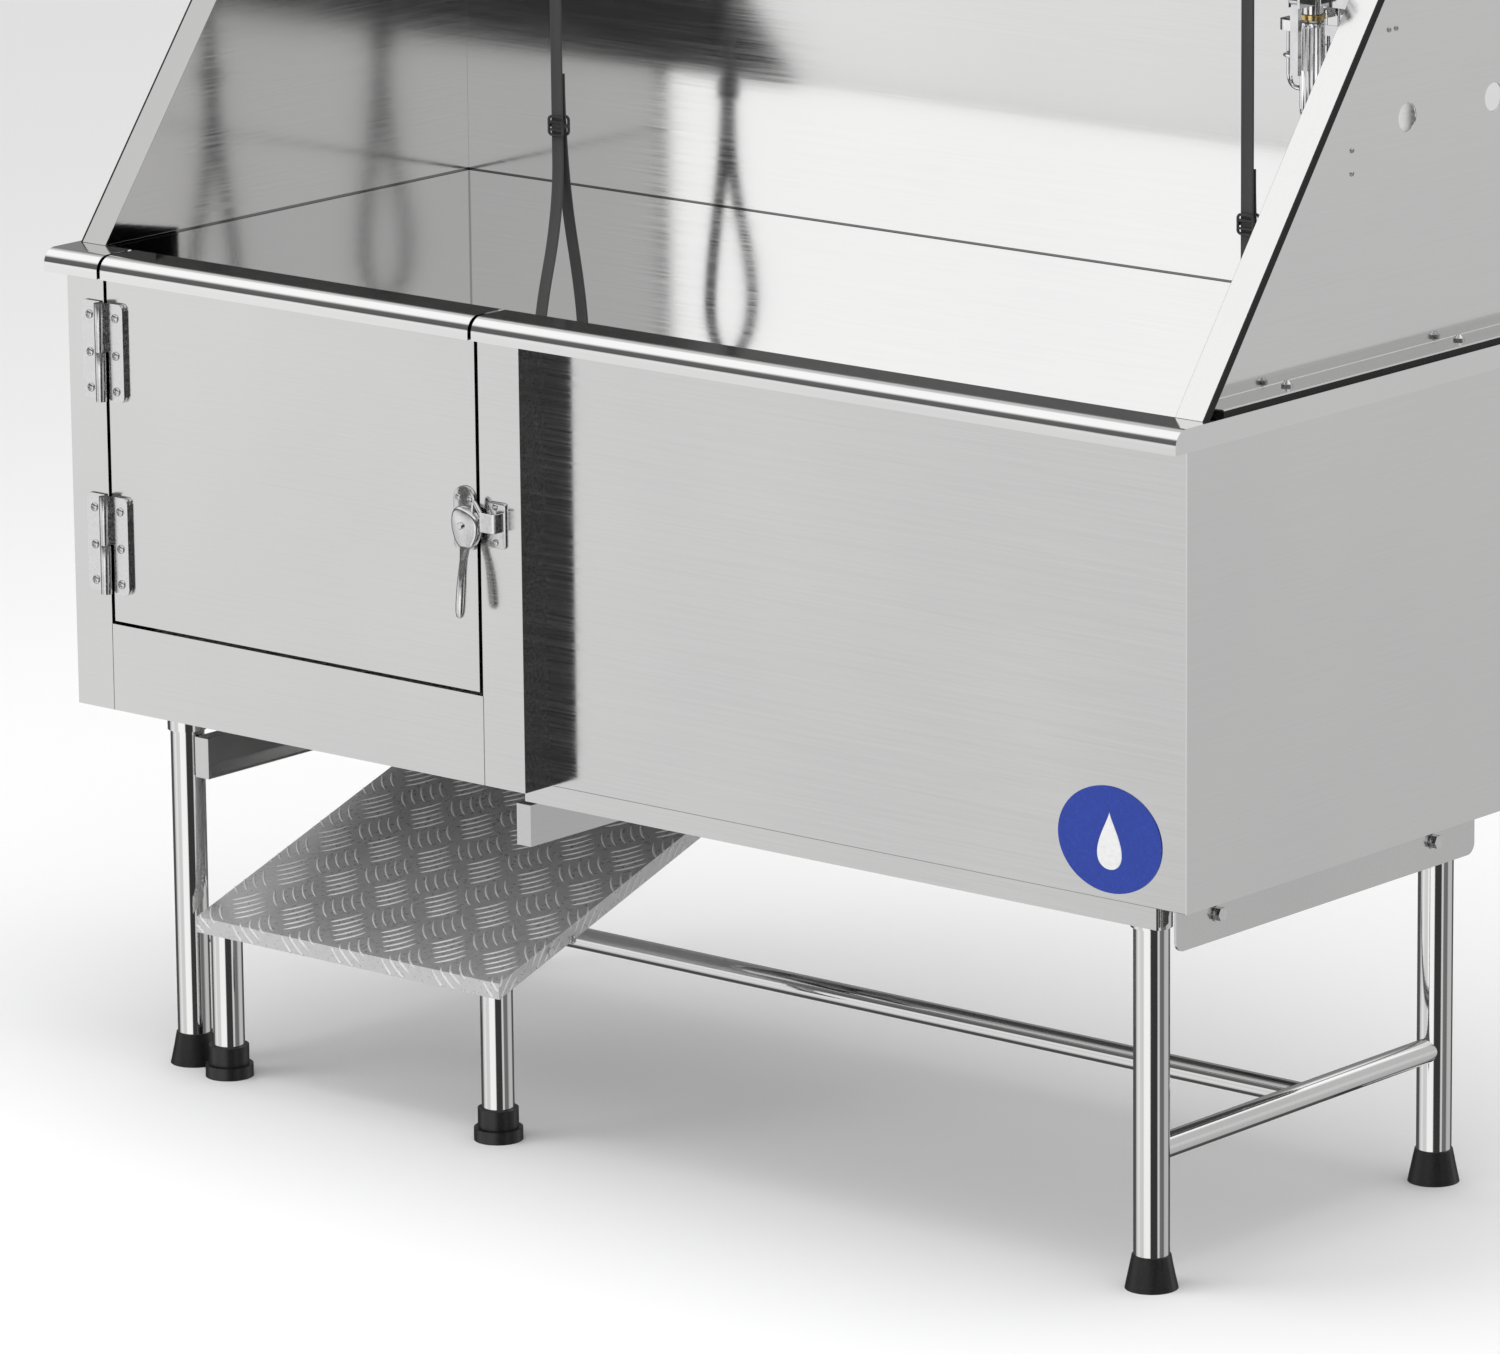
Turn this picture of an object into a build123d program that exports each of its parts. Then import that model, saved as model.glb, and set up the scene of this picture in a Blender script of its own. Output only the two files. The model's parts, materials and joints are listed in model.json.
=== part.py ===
# Walk-in dog grooming tub: stainless basin on four tube legs, hinged front door with a lever latch,
# pull-out ramp, sloped splash guards, restraint bar with two webbing loops, sprayer and soap basket.
# Millimetres. +X is the tub's right, -Y its front, +Z up, and the feet stand on z = 0. Depths below
# are measured from the middle of the rim; each piece is then moved back by CENTRE_Y, so that the
# overall box, with the door handle, is centred on x = 0, y = 0.
import os
from math import radians, tan

from build123d import *

os.makedirs("parts", exist_ok=True)

# --- Driving dimensions ---------------------------------------------------------------------------
SHEET = 2.0                     # stainless sheet thickness

RIM_HALF_X, RIM_HALF_Y = 787.5, 343.0   # 1575 x 686 overall (62 x 27 in)
RIM_Z = 932.0                   # top of the rim
RIM_SKIN = 3.0                  # rim sheet, folded double
RIM_DROP = 25.0                 # height of the rolled edge
RIM_RADIUS = 17.0               # nose of the rolled edge
RIM_LIP = 10.0                  # hem turned back under the roll

BODY_HALF_X = 762.0             # outer skin
BODY_FRONT_Y, BODY_BACK_Y = -291.0, 310.0
BODY_Z = 420.0                  # underside of the tub
IN_HALF_X = 745.0               # inner walls of the basin
IN_FRONT_Y, IN_BACK_Y = -286.0, 308.0
FLOOR_Z = 440.0                 # basin floor
DECK_Z = RIM_Z - RIM_SKIN       # walls end under the rim sheet
FACE_TOP_Z = DECK_Z - 3.0       # door and door frame end just under the rolled nose
CENTRE_Y = 11.5                 # shift that puts the middle of the overall depth at y = 0

FRAME_Y = -333.0                # front face of the door frame
JAMB_L_X = -707.0               # opening side of the left jamb
JAMB_R_X = -155.0               # opening side of the right jamb
FRAME_R_X = -97.0               # right end of the door frame
SILL_Z = 518.0                  # top of the sill panel
SEAM = 1.2                      # groove where two sheets meet
STOP = 17.0                     # width of the door stops around the opening
STOP_Y = -298.0                 # front face of the door stops

DOOR_GAP = 5.0
DOOR_L_X, DOOR_R_X = JAMB_L_X + DOOR_GAP, JAMB_R_X - DOOR_GAP
DOOR_Z = SILL_Z + 4.0
DOOR_BACK_Y = -312.0            # inner face of the door
GASKET_GAP = 0.4                # gasket to stop

HINGE_X, HINGE_Y = -704.5, -343.0
HINGE_R = 6.0
PIN_R = 3.0
HINGE_HEIGHT = 110.0
HINGE_ZS = {"upper": 771.0, "lower": 554.0}
LEAF = 3.0                      # frame leaf thickness
DOOR_LEAF = 5.0

LEVER_X, LEVER_Z = -168.0, 706.0

SPLASH_Z = 1473.0               # overall height, 58 in
SPLASH_FRONT_Y = -290.0         # foot of the sloped front edge
SPLASH_TOP_Y = 114.0            # top of the sloped front edge
FLANGE = 35.0                   # front flange of the side splash guards
FOOT_FLANGE = 39.0              # bolted foot flange
INLET_Z, INLET_YS, INLET_R = 1182.0, (95.4, 245.4), 15.0

LEG_X, LEG_Y, LEG_R = 681.0, 245.0, 19.0
TUBE_WALL = 1.5
FOOT_H = 36.0
STRETCHER_Z, STRETCHER_R = 147.0, 13.5
MID_STRETCHER_Y = 15.0

RAMP_X0, RAMP_X1 = -636.0, -184.0
RAMP_FRONT_Y, RAMP_FRONT_Z = -284.0, 184.0
RAMP_REAR_Y = 236.0
RAMP_SLOPE = 0.3346             # rise per unit of run
RAMP_SKIRT = 18.0
RAMP_SKIN = 2.5
RAMP_LEG_XS, RAMP_LEG_Y = (-612.0, -208.0), -262.0

RAIL_Z0, RAIL_Z1 = 335.0, 381.0
RAIL_SKIN = 3.0
RAIL_Y0, RAIL_Y1 = -255.0, 280.0
RAIL_WIDTH = 20.0
ROLLER_R, ROLLER_W = 19.0, 11.0
ROLLER_Y, ROLLER_Z = 228.0, RAIL_Z0 + RAIL_SKIN + 19.3

BAR_Y, BAR_Z, BAR_R = 160.0, 1425.0, 12.5
STRAP_XS = {"left": -476.0, "right": 492.0}
STRAP_WIDTH, STRAP_THICK = 16.0, 2.4


# --- Helpers --------------------------------------------------------------------------------------
def block(x0, x1, y0, y1, z0, z1, mode=Mode.ADD):
    """A box between six planes, added to the part being built."""
    with Locations(((x0 + x1) / 2, (y0 + y1) / 2, (z0 + z1) / 2)):
        Box(abs(x1 - x0), abs(y1 - y0), abs(z1 - z0), mode=mode)


def post(x, y, z0, z1, radius, mode=Mode.ADD):
    """A vertical cylinder."""
    with Locations((x, y, (z0 + z1) / 2)):
        Cylinder(radius, z1 - z0, mode=mode)


def rod_x(x0, x1, y, z, radius, mode=Mode.ADD):
    """A cylinder along X."""
    with Locations(Location(((x0 + x1) / 2, y, z), (0, 90, 0))):
        Cylinder(radius, x1 - x0, mode=mode)


def rod_y(x, y0, y1, z, radius, mode=Mode.ADD):
    """A cylinder along Y."""
    with Locations(Location((x, (y0 + y1) / 2, z), (90, 0, 0))):
        Cylinder(radius, y1 - y0, mode=mode)


def save(part, name):
    """Centre the finished piece and write it."""
    placed = part.moved(Location((0, CENTRE_Y, 0)))
    placed.label = name
    export_step(placed, f"parts/{name}.step")


def side_profile(points, x0, x1, mode=Mode.ADD):
    """A polygon in the YZ plane, extruded from x0 to x1."""
    with BuildSketch(Plane.YZ.offset(x0)) as outline:
        with BuildLine():
            Polyline(*points, close=True)
        make_face()
    extrude(outline.sketch, amount=x1 - x0, mode=mode)


# --- Basin ----------------------------------------------------------------------------------------
DRAIN_X, DRAIN_Y, DRAIN_R = 450.0, 100.0, 44.0
PIPE_R = 24.0

with BuildPart() as basin_floor:
    block(-IN_HALF_X, IN_HALF_X, IN_FRONT_Y, IN_BACK_Y, FLOOR_Z - SHEET, FLOOR_Z)
    post(DRAIN_X, DRAIN_Y, FLOOR_Z - SHEET, FLOOR_Z, DRAIN_R, Mode.SUBTRACT)
save(basin_floor.part, "basin_floor")

with BuildPart() as basin_walls:
    block(-BODY_HALF_X, BODY_HALF_X, IN_BACK_Y, BODY_BACK_Y, BODY_Z, DECK_Z)
    for sign in (-1, 1):
        block(sign * IN_HALF_X, sign * (IN_HALF_X + SHEET), IN_FRONT_Y, IN_BACK_Y, FLOOR_Z - SHEET, DECK_Z)
    block(FRAME_R_X, IN_HALF_X + SHEET, IN_FRONT_Y - SHEET, IN_FRONT_Y, FLOOR_Z - SHEET, DECK_Z)
save(basin_walls.part, "basin_walls")

with BuildPart() as front_panel:
    block(FRAME_R_X, BODY_HALF_X - SHEET, BODY_FRONT_Y, BODY_FRONT_Y + SHEET, BODY_Z, DECK_Z)
    fillet(front_panel.edges().filter_by(Axis.X).group_by(Axis.Z)[0].sort_by(Axis.Y)[0], 1.5)
save(front_panel.part, "front_panel")

with BuildPart() as side_panels:
    block(BODY_HALF_X - SHEET, BODY_HALF_X, BODY_FRONT_Y, IN_BACK_Y, BODY_Z, DECK_Z)
    block(-BODY_HALF_X, -BODY_HALF_X + SHEET, IN_FRONT_Y, IN_BACK_Y, BODY_Z, DECK_Z)
save(side_panels.part, "side_panels")

with BuildPart() as underpan:
    block(-BODY_HALF_X + SHEET, BODY_HALF_X - SHEET, IN_FRONT_Y, IN_BACK_Y, BODY_Z, BODY_Z + SHEET)
    block(FRAME_R_X, BODY_HALF_X - SHEET, BODY_FRONT_Y + SHEET, IN_FRONT_Y, BODY_Z, BODY_Z + SHEET)
    post(DRAIN_X, DRAIN_Y, BODY_Z, BODY_Z + SHEET, PIPE_R + 2, Mode.SUBTRACT)
save(underpan.part, "underpan")

# --- Door frame -----------------------------------------------------------------------------------
with BuildPart() as door_frame:
    for lo, hi in ((-BODY_HALF_X, JAMB_L_X), (JAMB_R_X, FRAME_R_X)):
        block(lo, hi, FRAME_Y, IN_FRONT_Y, BODY_Z, FACE_TOP_Z)
    block(JAMB_L_X, JAMB_R_X, FRAME_Y, IN_FRONT_Y, BODY_Z, SILL_Z)
    for lo, hi, top in ((-BODY_HALF_X, JAMB_L_X, FACE_TOP_Z), (JAMB_R_X, FRAME_R_X, FACE_TOP_Z),
                        (JAMB_L_X, JAMB_R_X, SILL_Z - SHEET)):
        block(lo + SHEET, hi - SHEET, FRAME_Y + SHEET, IN_FRONT_Y - SHEET, BODY_Z, top, Mode.SUBTRACT)
    block(JAMB_L_X, JAMB_L_X + STOP, STOP_Y, STOP_Y + 4, SILL_Z, FACE_TOP_Z)
    block(JAMB_R_X - STOP, JAMB_R_X, STOP_Y, STOP_Y + 4, SILL_Z, FACE_TOP_Z)
    block(JAMB_L_X + STOP, JAMB_R_X - STOP, STOP_Y, STOP_Y + 4, SILL_Z, SILL_Z + STOP)
    for x in (JAMB_L_X, JAMB_R_X):
        block(x - SEAM / 2, x + SEAM / 2, FRAME_Y, FRAME_Y + SEAM, BODY_Z, SILL_Z, Mode.SUBTRACT)
save(door_frame.part, "door_frame")


# --- Rim ------------------------------------------------------------------------------------------
def rim_front(x0, x1):
    """Front rim rail: a flat top sheet that rolls over a nose and ends in a hem."""
    nose_y = -RIM_HALF_Y
    inner_radius = RIM_RADIUS - RIM_SKIN
    arc_y = nose_y + RIM_RADIUS
    arc_z = RIM_Z - RIM_RADIUS
    low = RIM_Z - RIM_DROP
    with BuildSketch(Plane.YZ.offset(x0)) as section:
        with BuildLine():
            Line((IN_FRONT_Y - SHEET, RIM_Z), (arc_y, RIM_Z))
            CenterArc((arc_y, arc_z), RIM_RADIUS, 90, 90)
            Polyline((nose_y, arc_z), (nose_y, low), (nose_y + RIM_LIP, low), (nose_y + RIM_LIP, low + RIM_SKIN),
                     (nose_y + RIM_SKIN, low + RIM_SKIN), (nose_y + RIM_SKIN, arc_z))
            CenterArc((arc_y, arc_z), inner_radius, 180, -90)
            Polyline((arc_y, RIM_Z - RIM_SKIN), (IN_FRONT_Y - SHEET, RIM_Z - RIM_SKIN), (IN_FRONT_Y - SHEET, RIM_Z))
        make_face()
    extrude(section.sketch, amount=x1 - x0)


with BuildPart() as rim_left:
    rim_front(-RIM_HALF_X + RIM_SKIN, JAMB_L_X)
save(rim_left.part, "rim_front_left")

with BuildPart() as rim_right:
    rim_front(JAMB_R_X, RIM_HALF_X - RIM_SKIN)
save(rim_right.part, "rim_front_right")

with BuildPart() as rim_sides:
    for sign in (-1, 1):
        outer = sign * RIM_HALF_X
        block(outer, outer - sign * RIM_SKIN, -RIM_HALF_Y, RIM_HALF_Y, RIM_Z - RIM_DROP, RIM_Z)
        block(outer - sign * RIM_SKIN, sign * (IN_HALF_X + SEAM), IN_FRONT_Y - SHEET, IN_BACK_Y,
              RIM_Z - RIM_SKIN, RIM_Z)
    fillet(rim_sides.edges().filter_by(Axis.X).group_by(Axis.Y)[0].group_by(Axis.Z)[-1], RIM_RADIUS)
    block(-RIM_HALF_X + RIM_SKIN, RIM_HALF_X - RIM_SKIN, IN_BACK_Y + SEAM, RIM_HALF_Y, RIM_Z - RIM_SKIN, RIM_Z)
    block(-RIM_HALF_X + RIM_SKIN, RIM_HALF_X - RIM_SKIN, RIM_HALF_Y - RIM_SKIN, RIM_HALF_Y,
          RIM_Z - RIM_DROP, RIM_Z)
save(rim_sides.part, "rim_sides")

# --- Door -----------------------------------------------------------------------------------------
with BuildPart() as door_panel:
    block(DOOR_L_X, DOOR_R_X, FRAME_Y, DOOR_BACK_Y, DOOR_Z, FACE_TOP_Z)
    block(DOOR_L_X + SHEET, DOOR_R_X - SHEET, FRAME_Y + SHEET, DOOR_BACK_Y, DOOR_Z + SHEET, FACE_TOP_Z, Mode.SUBTRACT)
save(door_panel.part, "door_outer_panel")

with BuildPart() as door_inner:
    block(DOOR_L_X, DOOR_R_X, DOOR_BACK_Y, DOOR_BACK_Y + SHEET, DOOR_Z, DECK_Z)
save(door_inner.part, "door_inner_panel")

with BuildPart() as door_rim:
    rim_front(DOOR_L_X, DOOR_R_X)
save(door_rim.part, "door_rim")

GASKET_IN, GASKET_OUT = 16.0, 3.0
with BuildPart() as door_gasket:
    front, back = DOOR_BACK_Y + SHEET, STOP_Y - GASKET_GAP
    block(DOOR_L_X + GASKET_OUT, DOOR_R_X - GASKET_OUT, front, back, DOOR_Z + GASKET_OUT, DECK_Z - 2)
    block(DOOR_L_X + GASKET_IN, DOOR_R_X - GASKET_IN, front, back, DOOR_Z + GASKET_IN, DECK_Z - 2, Mode.SUBTRACT)
save(door_gasket.part, "door_gasket")


# --- Hinges ---------------------------------------------------------------------------------------
def dome_screw(x, z, face_y, radius=5.0, height=2.6):
    """A low dome screw head on a face that looks to the front."""
    with BuildSketch(Plane.XZ.offset(-face_y)) as head:
        with Locations((x, z)):
            Circle(radius)
    extrude(head.sketch, amount=height, taper=35)


for name, z0 in HINGE_ZS.items():
    z1, zm = z0 + HINGE_HEIGHT, z0 + HINGE_HEIGHT / 2
    with BuildPart() as frame_leaf:
        block(HINGE_X - 34, HINGE_X - 6.5, FRAME_Y - LEAF, FRAME_Y, z0, z1)
        fillet(frame_leaf.edges().filter_by(Axis.Y).group_by(Axis.X)[0], 6)
        block(HINGE_X - 6.5, HINGE_X, FRAME_Y - LEAF, FRAME_Y, z0, zm - 0.4)
        block(HINGE_X - HINGE_R, HINGE_X, HINGE_Y, FRAME_Y, z0, zm - 0.4)
        post(HINGE_X, HINGE_Y, z0, zm - 0.4, HINGE_R)
        post(HINGE_X, HINGE_Y, z0, zm - 0.4, PIN_R, Mode.SUBTRACT)
    save(frame_leaf.part, f"hinge_{name}_frame_leaf")

    with BuildPart() as door_leaf:
        block(HINGE_X + 8.5, HINGE_X + 30, FRAME_Y - DOOR_LEAF, FRAME_Y, z0, z1)
        fillet(door_leaf.edges().filter_by(Axis.Y).group_by(Axis.X)[-1], 7)
        block(HINGE_X + 2.5, HINGE_X + 8.5, FRAME_Y - DOOR_LEAF, FRAME_Y, zm + 0.4, z1)
        block(HINGE_X, HINGE_X + HINGE_R, HINGE_Y, FRAME_Y - DOOR_LEAF, zm + 0.4, z1)
        post(HINGE_X, HINGE_Y, zm + 0.4, z1, HINGE_R)
        post(HINGE_X, HINGE_Y, zm + 0.4, z1 - 8, PIN_R + 0.08, Mode.SUBTRACT)
    save(door_leaf.part, f"hinge_{name}_door_leaf")


with BuildPart() as hinge_pins:
    for z0 in HINGE_ZS.values():
        post(HINGE_X, HINGE_Y, z0 + 4, z0 + HINGE_HEIGHT - 10, PIN_R)
save(hinge_pins.part, "hinge_pins")

LEAF_SCREW_ZS = (12.0, 52.0, 94.0)
BRACKET_SCREWS = ((63.0, 1277.0), (75.0, 1277.0), (1.0, 1161.0), (1.0, 1137.0))   # right splash guard
# --- Lever latch ----------------------------------------------------------------------------------
BASE_X0, BASE_X1 = -191.0, -160.5
PLATE_Y = FRAME_Y - 3.0         # face of the latch plates
LEVER_Y0, LEVER_Y1 = -350.0, -341.0

with BuildPart() as latch_base:
    block(BASE_X0, BASE_X1, PLATE_Y, FRAME_Y, 677, 746)
    fillet(latch_base.edges().filter_by(Axis.Y).group_by(Axis.Z)[-1], 14)
    fillet(latch_base.edges().filter_by(Axis.Y).group_by(Axis.Z)[0], 3)
    rod_y(LEVER_X, LEVER_Y1 + 0.4, PLATE_Y, LEVER_Z, 10)
    rod_y(LEVER_X, LEVER_Y0 - 2, LEVER_Y1 + 0.4, LEVER_Z, 4)
save(latch_base.part, "latch_base")

HANDLE_W = 12.0
HANDLE_X = LEVER_X + 6
with BuildPart() as latch_lever:
    with BuildSketch(Plane.XZ.offset(-LEVER_Y1)):
        with Locations((LEVER_X, LEVER_Z)):
            Circle(17)
        with BuildLine():
            Polyline((LEVER_X - 15, LEVER_Z - 8), (LEVER_X - 2, LEVER_Z - 30), (LEVER_X + 12, LEVER_Z - 30),
                     (LEVER_X + 15, LEVER_Z - 8), close=True)
        make_face()
    extrude(amount=LEVER_Y1 - LEVER_Y0)
    block(LEVER_X, -128, LEVER_Y1 - 4, LEVER_Y1, LEVER_Z + 1, LEVER_Z + 11)
    side_profile([(LEVER_Y1, LEVER_Z - 26), (LEVER_Y0, LEVER_Z - 16), (-359, LEVER_Z - 51), (-366, LEVER_Z - 98),
                  (-355, LEVER_Z - 98), (-349, LEVER_Z - 51)], HANDLE_X - HANDLE_W / 2, HANDLE_X + HANDLE_W / 2)
    rod_y(LEVER_X, LEVER_Y0, LEVER_Y1, LEVER_Z, 4.08, Mode.SUBTRACT)
save(latch_lever.part, "latch_lever")

with BuildPart() as latch_keeper:
    block(-143, -117, PLATE_Y, FRAME_Y, 684, 734)
    fillet(latch_keeper.edges().filter_by(Axis.Y), 3)
    block(-123.5, -119, -351, PLATE_Y, 703, 724)
    block(-141, -119, -351, -348, 703, 724)
save(latch_keeper.part, "latch_keeper")

with BuildPart() as door_screws:
    for z0 in HINGE_ZS.values():
        for dz in LEAF_SCREW_ZS:
            dome_screw(HINGE_X + 19, z0 + dz, FRAME_Y - DOOR_LEAF)
    for x, z in ((-184, 733), (-167, 733), (-184, 686), (-167, 682)):
        dome_screw(x, z, PLATE_Y, 3.4, 1.6)
save(door_screws.part, "door_screws")

with BuildPart() as frame_screws:
    for z0 in HINGE_ZS.values():
        for dz in LEAF_SCREW_ZS:
            dome_screw(HINGE_X - 22, z0 + dz, FRAME_Y - LEAF)
    for z in (729, 690):
        dome_screw(-131, z, PLATE_Y, 3.6, 1.6)
    for y, z in BRACKET_SCREWS:
        rod_x(IN_HALF_X + SHEET, IN_HALF_X + SHEET + 1.8, y, z, 3)
save(frame_screws.part, "frame_screws")

# --- Splash guards --------------------------------------------------------------------------------
SLOPE_SKIN = 2.5             # a panel's thickness measured along Y on the sloping front edge
SEAL = 6.0                       # rubber strip under the foot flanges
FOOT_Z = RIM_Z + SEAL + SHEET
FOOT_Y = SPLASH_FRONT_Y + 30
BACK_FOOT = 32.0
BOLT_YS = (-128.0, 166.0)
BOLT_X = 763.0

for side, sign in (("left", -1), ("right", 1)):
    inner, outer = sign * IN_HALF_X, sign * (IN_HALF_X + SHEET)
    edge = sign * (IN_HALF_X + FLANGE)
    with BuildPart() as side_splash:
        side_profile([(SPLASH_FRONT_Y, RIM_Z), (IN_BACK_Y, RIM_Z), (IN_BACK_Y, SPLASH_Z), (SPLASH_TOP_Y, SPLASH_Z)],
                     inner, outer)
        side_profile([(SPLASH_FRONT_Y, RIM_Z), (SPLASH_FRONT_Y + SLOPE_SKIN, RIM_Z),
                      (SPLASH_TOP_Y + SLOPE_SKIN, SPLASH_Z), (SPLASH_TOP_Y, SPLASH_Z)], inner, edge)
        block(inner, edge, SPLASH_TOP_Y, IN_BACK_Y, SPLASH_Z - SHEET, SPLASH_Z)
        block(inner, sign * (IN_HALF_X + FOOT_FLANGE), FOOT_Y, IN_BACK_Y, FOOT_Z - SHEET, FOOT_Z)
        if side == "right":
            for y in INLET_YS:
                rod_x(inner - 5, outer + 5, y, INLET_Z, INLET_R, Mode.SUBTRACT)
    save(side_splash.part, f"splash_{side}")

with BuildPart() as back_splash:
    block(-IN_HALF_X - SHEET, IN_HALF_X + SHEET, IN_BACK_Y, IN_BACK_Y + SHEET, RIM_Z, SPLASH_Z)
    block(-IN_HALF_X - SHEET, IN_HALF_X + SHEET, IN_BACK_Y, IN_BACK_Y + 25, SPLASH_Z - SHEET, SPLASH_Z)
    block(-IN_HALF_X - SHEET, IN_HALF_X + SHEET, IN_BACK_Y, IN_BACK_Y + BACK_FOOT, FOOT_Z - SHEET, FOOT_Z)
save(back_splash.part, "splash_back")

TRIM_DEPTH, TRIM_WIDTH = 10.0, 2.0      # rubber edging on the front flanges
with BuildPart() as seals:
    for sign in (-1, 1):
        wall, edge = sign * (IN_HALF_X + SHEET), sign * (IN_HALF_X + FLANGE)
        block(wall, sign * (IN_HALF_X + FOOT_FLANGE), FOOT_Y, IN_BACK_Y, RIM_Z, RIM_Z + SEAL)
        side_profile([(SPLASH_FRONT_Y, RIM_Z), (SPLASH_FRONT_Y + TRIM_DEPTH, RIM_Z),
                      (SPLASH_TOP_Y + TRIM_DEPTH, SPLASH_Z), (SPLASH_TOP_Y, SPLASH_Z)],
                     edge, edge + sign * TRIM_WIDTH)
    block(-IN_HALF_X - SHEET, IN_HALF_X + SHEET, IN_BACK_Y + SHEET, IN_BACK_Y + BACK_FOOT, RIM_Z, RIM_Z + SEAL)
save(seals.part, "splash_seals")


def acorn(x, y, z, radius=6.0, height=6.0):
    """A domed cap nut standing on a horizontal sheet."""
    post(x, y, z, z + height * 0.4, radius)
    with Locations((x, y, z + height * 0.4)):
        Cone(radius * 0.8, radius * 0.35, height * 0.6, align=(Align.CENTER, Align.CENTER, Align.MIN))


with BuildPart() as splash_bolts:
    for sign in (-1, 1):
        for y in BOLT_YS:
            acorn(sign * BOLT_X, y, FOOT_Z)
    for i in range(6):
        acorn(-600 + 240 * i, IN_BACK_Y + 22, FOOT_Z)
save(splash_bolts.part, "splash_bolts")

# --- Floor grates and drain -----------------------------------------------------------------------
GRATE_GAP = 4.0
GRATE_W = (2 * IN_HALF_X - 4 * GRATE_GAP) / 3
GRATE_Y0, GRATE_Y1 = IN_FRONT_Y + GRATE_GAP, IN_BACK_Y - GRATE_GAP
GRATE_Z = 508.0
with BuildPart() as grates:
    for i in range(3):
        x0 = -IN_HALF_X + GRATE_GAP + i * (GRATE_W + GRATE_GAP)
        x1 = x0 + GRATE_W
        block(x0, x1, GRATE_Y0, GRATE_Y1, GRATE_Z - SHEET, GRATE_Z)
        with BuildSketch(Plane.XY.offset(GRATE_Z)):
            with Locations(((x0 + x1) / 2, (GRATE_Y0 + GRATE_Y1) / 2)):
                with GridLocations(66, 92, 7, 6):
                    SlotOverall(48, 16)
        extrude(amount=-SHEET, mode=Mode.SUBTRACT)
        for y0, y1 in ((GRATE_Y0, GRATE_Y0 + SHEET), (GRATE_Y1 - SHEET, GRATE_Y1)):
            block(x0, x1, y0, y1, GRATE_Z - 20, GRATE_Z - SHEET)
        for x in (x0 + 30, x1 - 30):
            for y in (GRATE_Y0 + 14, GRATE_Y1 - 14):
                post(x, y, FLOOR_Z, GRATE_Z - SHEET, 10)
save(grates.part, "floor_grates")

with BuildPart() as drain_strainer:
    post(DRAIN_X, DRAIN_Y, FLOOR_Z, FLOOR_Z + 2, 57)
    post(DRAIN_X, DRAIN_Y, FLOOR_Z - 14, FLOOR_Z, DRAIN_R)
    post(DRAIN_X, DRAIN_Y, FLOOR_Z - 12, FLOOR_Z + 2, DRAIN_R - 3, Mode.SUBTRACT)
    with BuildSketch(Plane.XY.offset(FLOOR_Z - 12)):
        with Locations((DRAIN_X, DRAIN_Y)):
            with PolarLocations(17, 8):
                Circle(4)
    extrude(amount=-2, mode=Mode.SUBTRACT)
save(drain_strainer.part, "drain_strainer")

PIPE_Z0 = 350.0
with BuildPart() as drain_pipe:
    post(DRAIN_X, DRAIN_Y, PIPE_Z0, FLOOR_Z - 14, PIPE_R)
    post(DRAIN_X, DRAIN_Y, PIPE_Z0, FLOOR_Z - 14, PIPE_R - 2.5, Mode.SUBTRACT)
    with BuildSketch(Plane.XY.offset(BODY_Z)):
        with Locations((DRAIN_X, DRAIN_Y)):
            RegularPolygon(38, 8)
            Circle(PIPE_R - 1, mode=Mode.SUBTRACT)
    extrude(amount=-14)
save(drain_pipe.part, "drain_tailpipe")

# --- Legs -----------------------------------------------------------------------------------------
CORNERS = [(sx * LEG_X, sy * LEG_Y) for sx in (-1, 1) for sy in (-1, 1)]
with BuildPart() as legs:
    for x, y in CORNERS:
        post(x, y, 14, BODY_Z, LEG_R)
        post(x, y, 14, BODY_Z, LEG_R - TUBE_WALL, Mode.SUBTRACT)
save(legs.part, "legs")

with BuildPart() as leg_feet:
    for x, y in CORNERS:
        with Locations((x, y, 0)):
            Cone(28, 20.5, FOOT_H, align=(Align.CENTER, Align.CENTER, Align.MIN))
        post(x, y, 14, FOOT_H, LEG_R, Mode.SUBTRACT)
save(leg_feet.part, "leg_feet")

with BuildPart() as leg_sockets:
    for x, y in CORNERS:
        post(x, y, BODY_Z - 34, BODY_Z, LEG_R + 3)
        block(x - 32, x + 32, y - 32, y + 32, BODY_Z - 3, BODY_Z)
        post(x, y, BODY_Z - 34, BODY_Z, LEG_R, Mode.SUBTRACT)
save(leg_sockets.part, "leg_sockets")

with BuildPart() as stretcher:
    rod_x(-LEG_X, LEG_X, MID_STRETCHER_Y, STRETCHER_Z, 12.5)
    for sign in (-1, 1):
        rod_y(sign * LEG_X, -LEG_Y, LEG_Y, STRETCHER_Z, STRETCHER_R)
    rod_x(-LEG_X, LEG_X, MID_STRETCHER_Y, STRETCHER_Z, 12.5 - TUBE_WALL, Mode.SUBTRACT)
    for sign in (-1, 1):
        rod_y(sign * LEG_X, -LEG_Y, LEG_Y, STRETCHER_Z, STRETCHER_R - TUBE_WALL, Mode.SUBTRACT)
    for x, y in CORNERS:
        post(x, y, STRETCHER_Z - 20, STRETCHER_Z + 20, LEG_R, Mode.SUBTRACT)
save(stretcher.part, "stretcher_frame")

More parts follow.
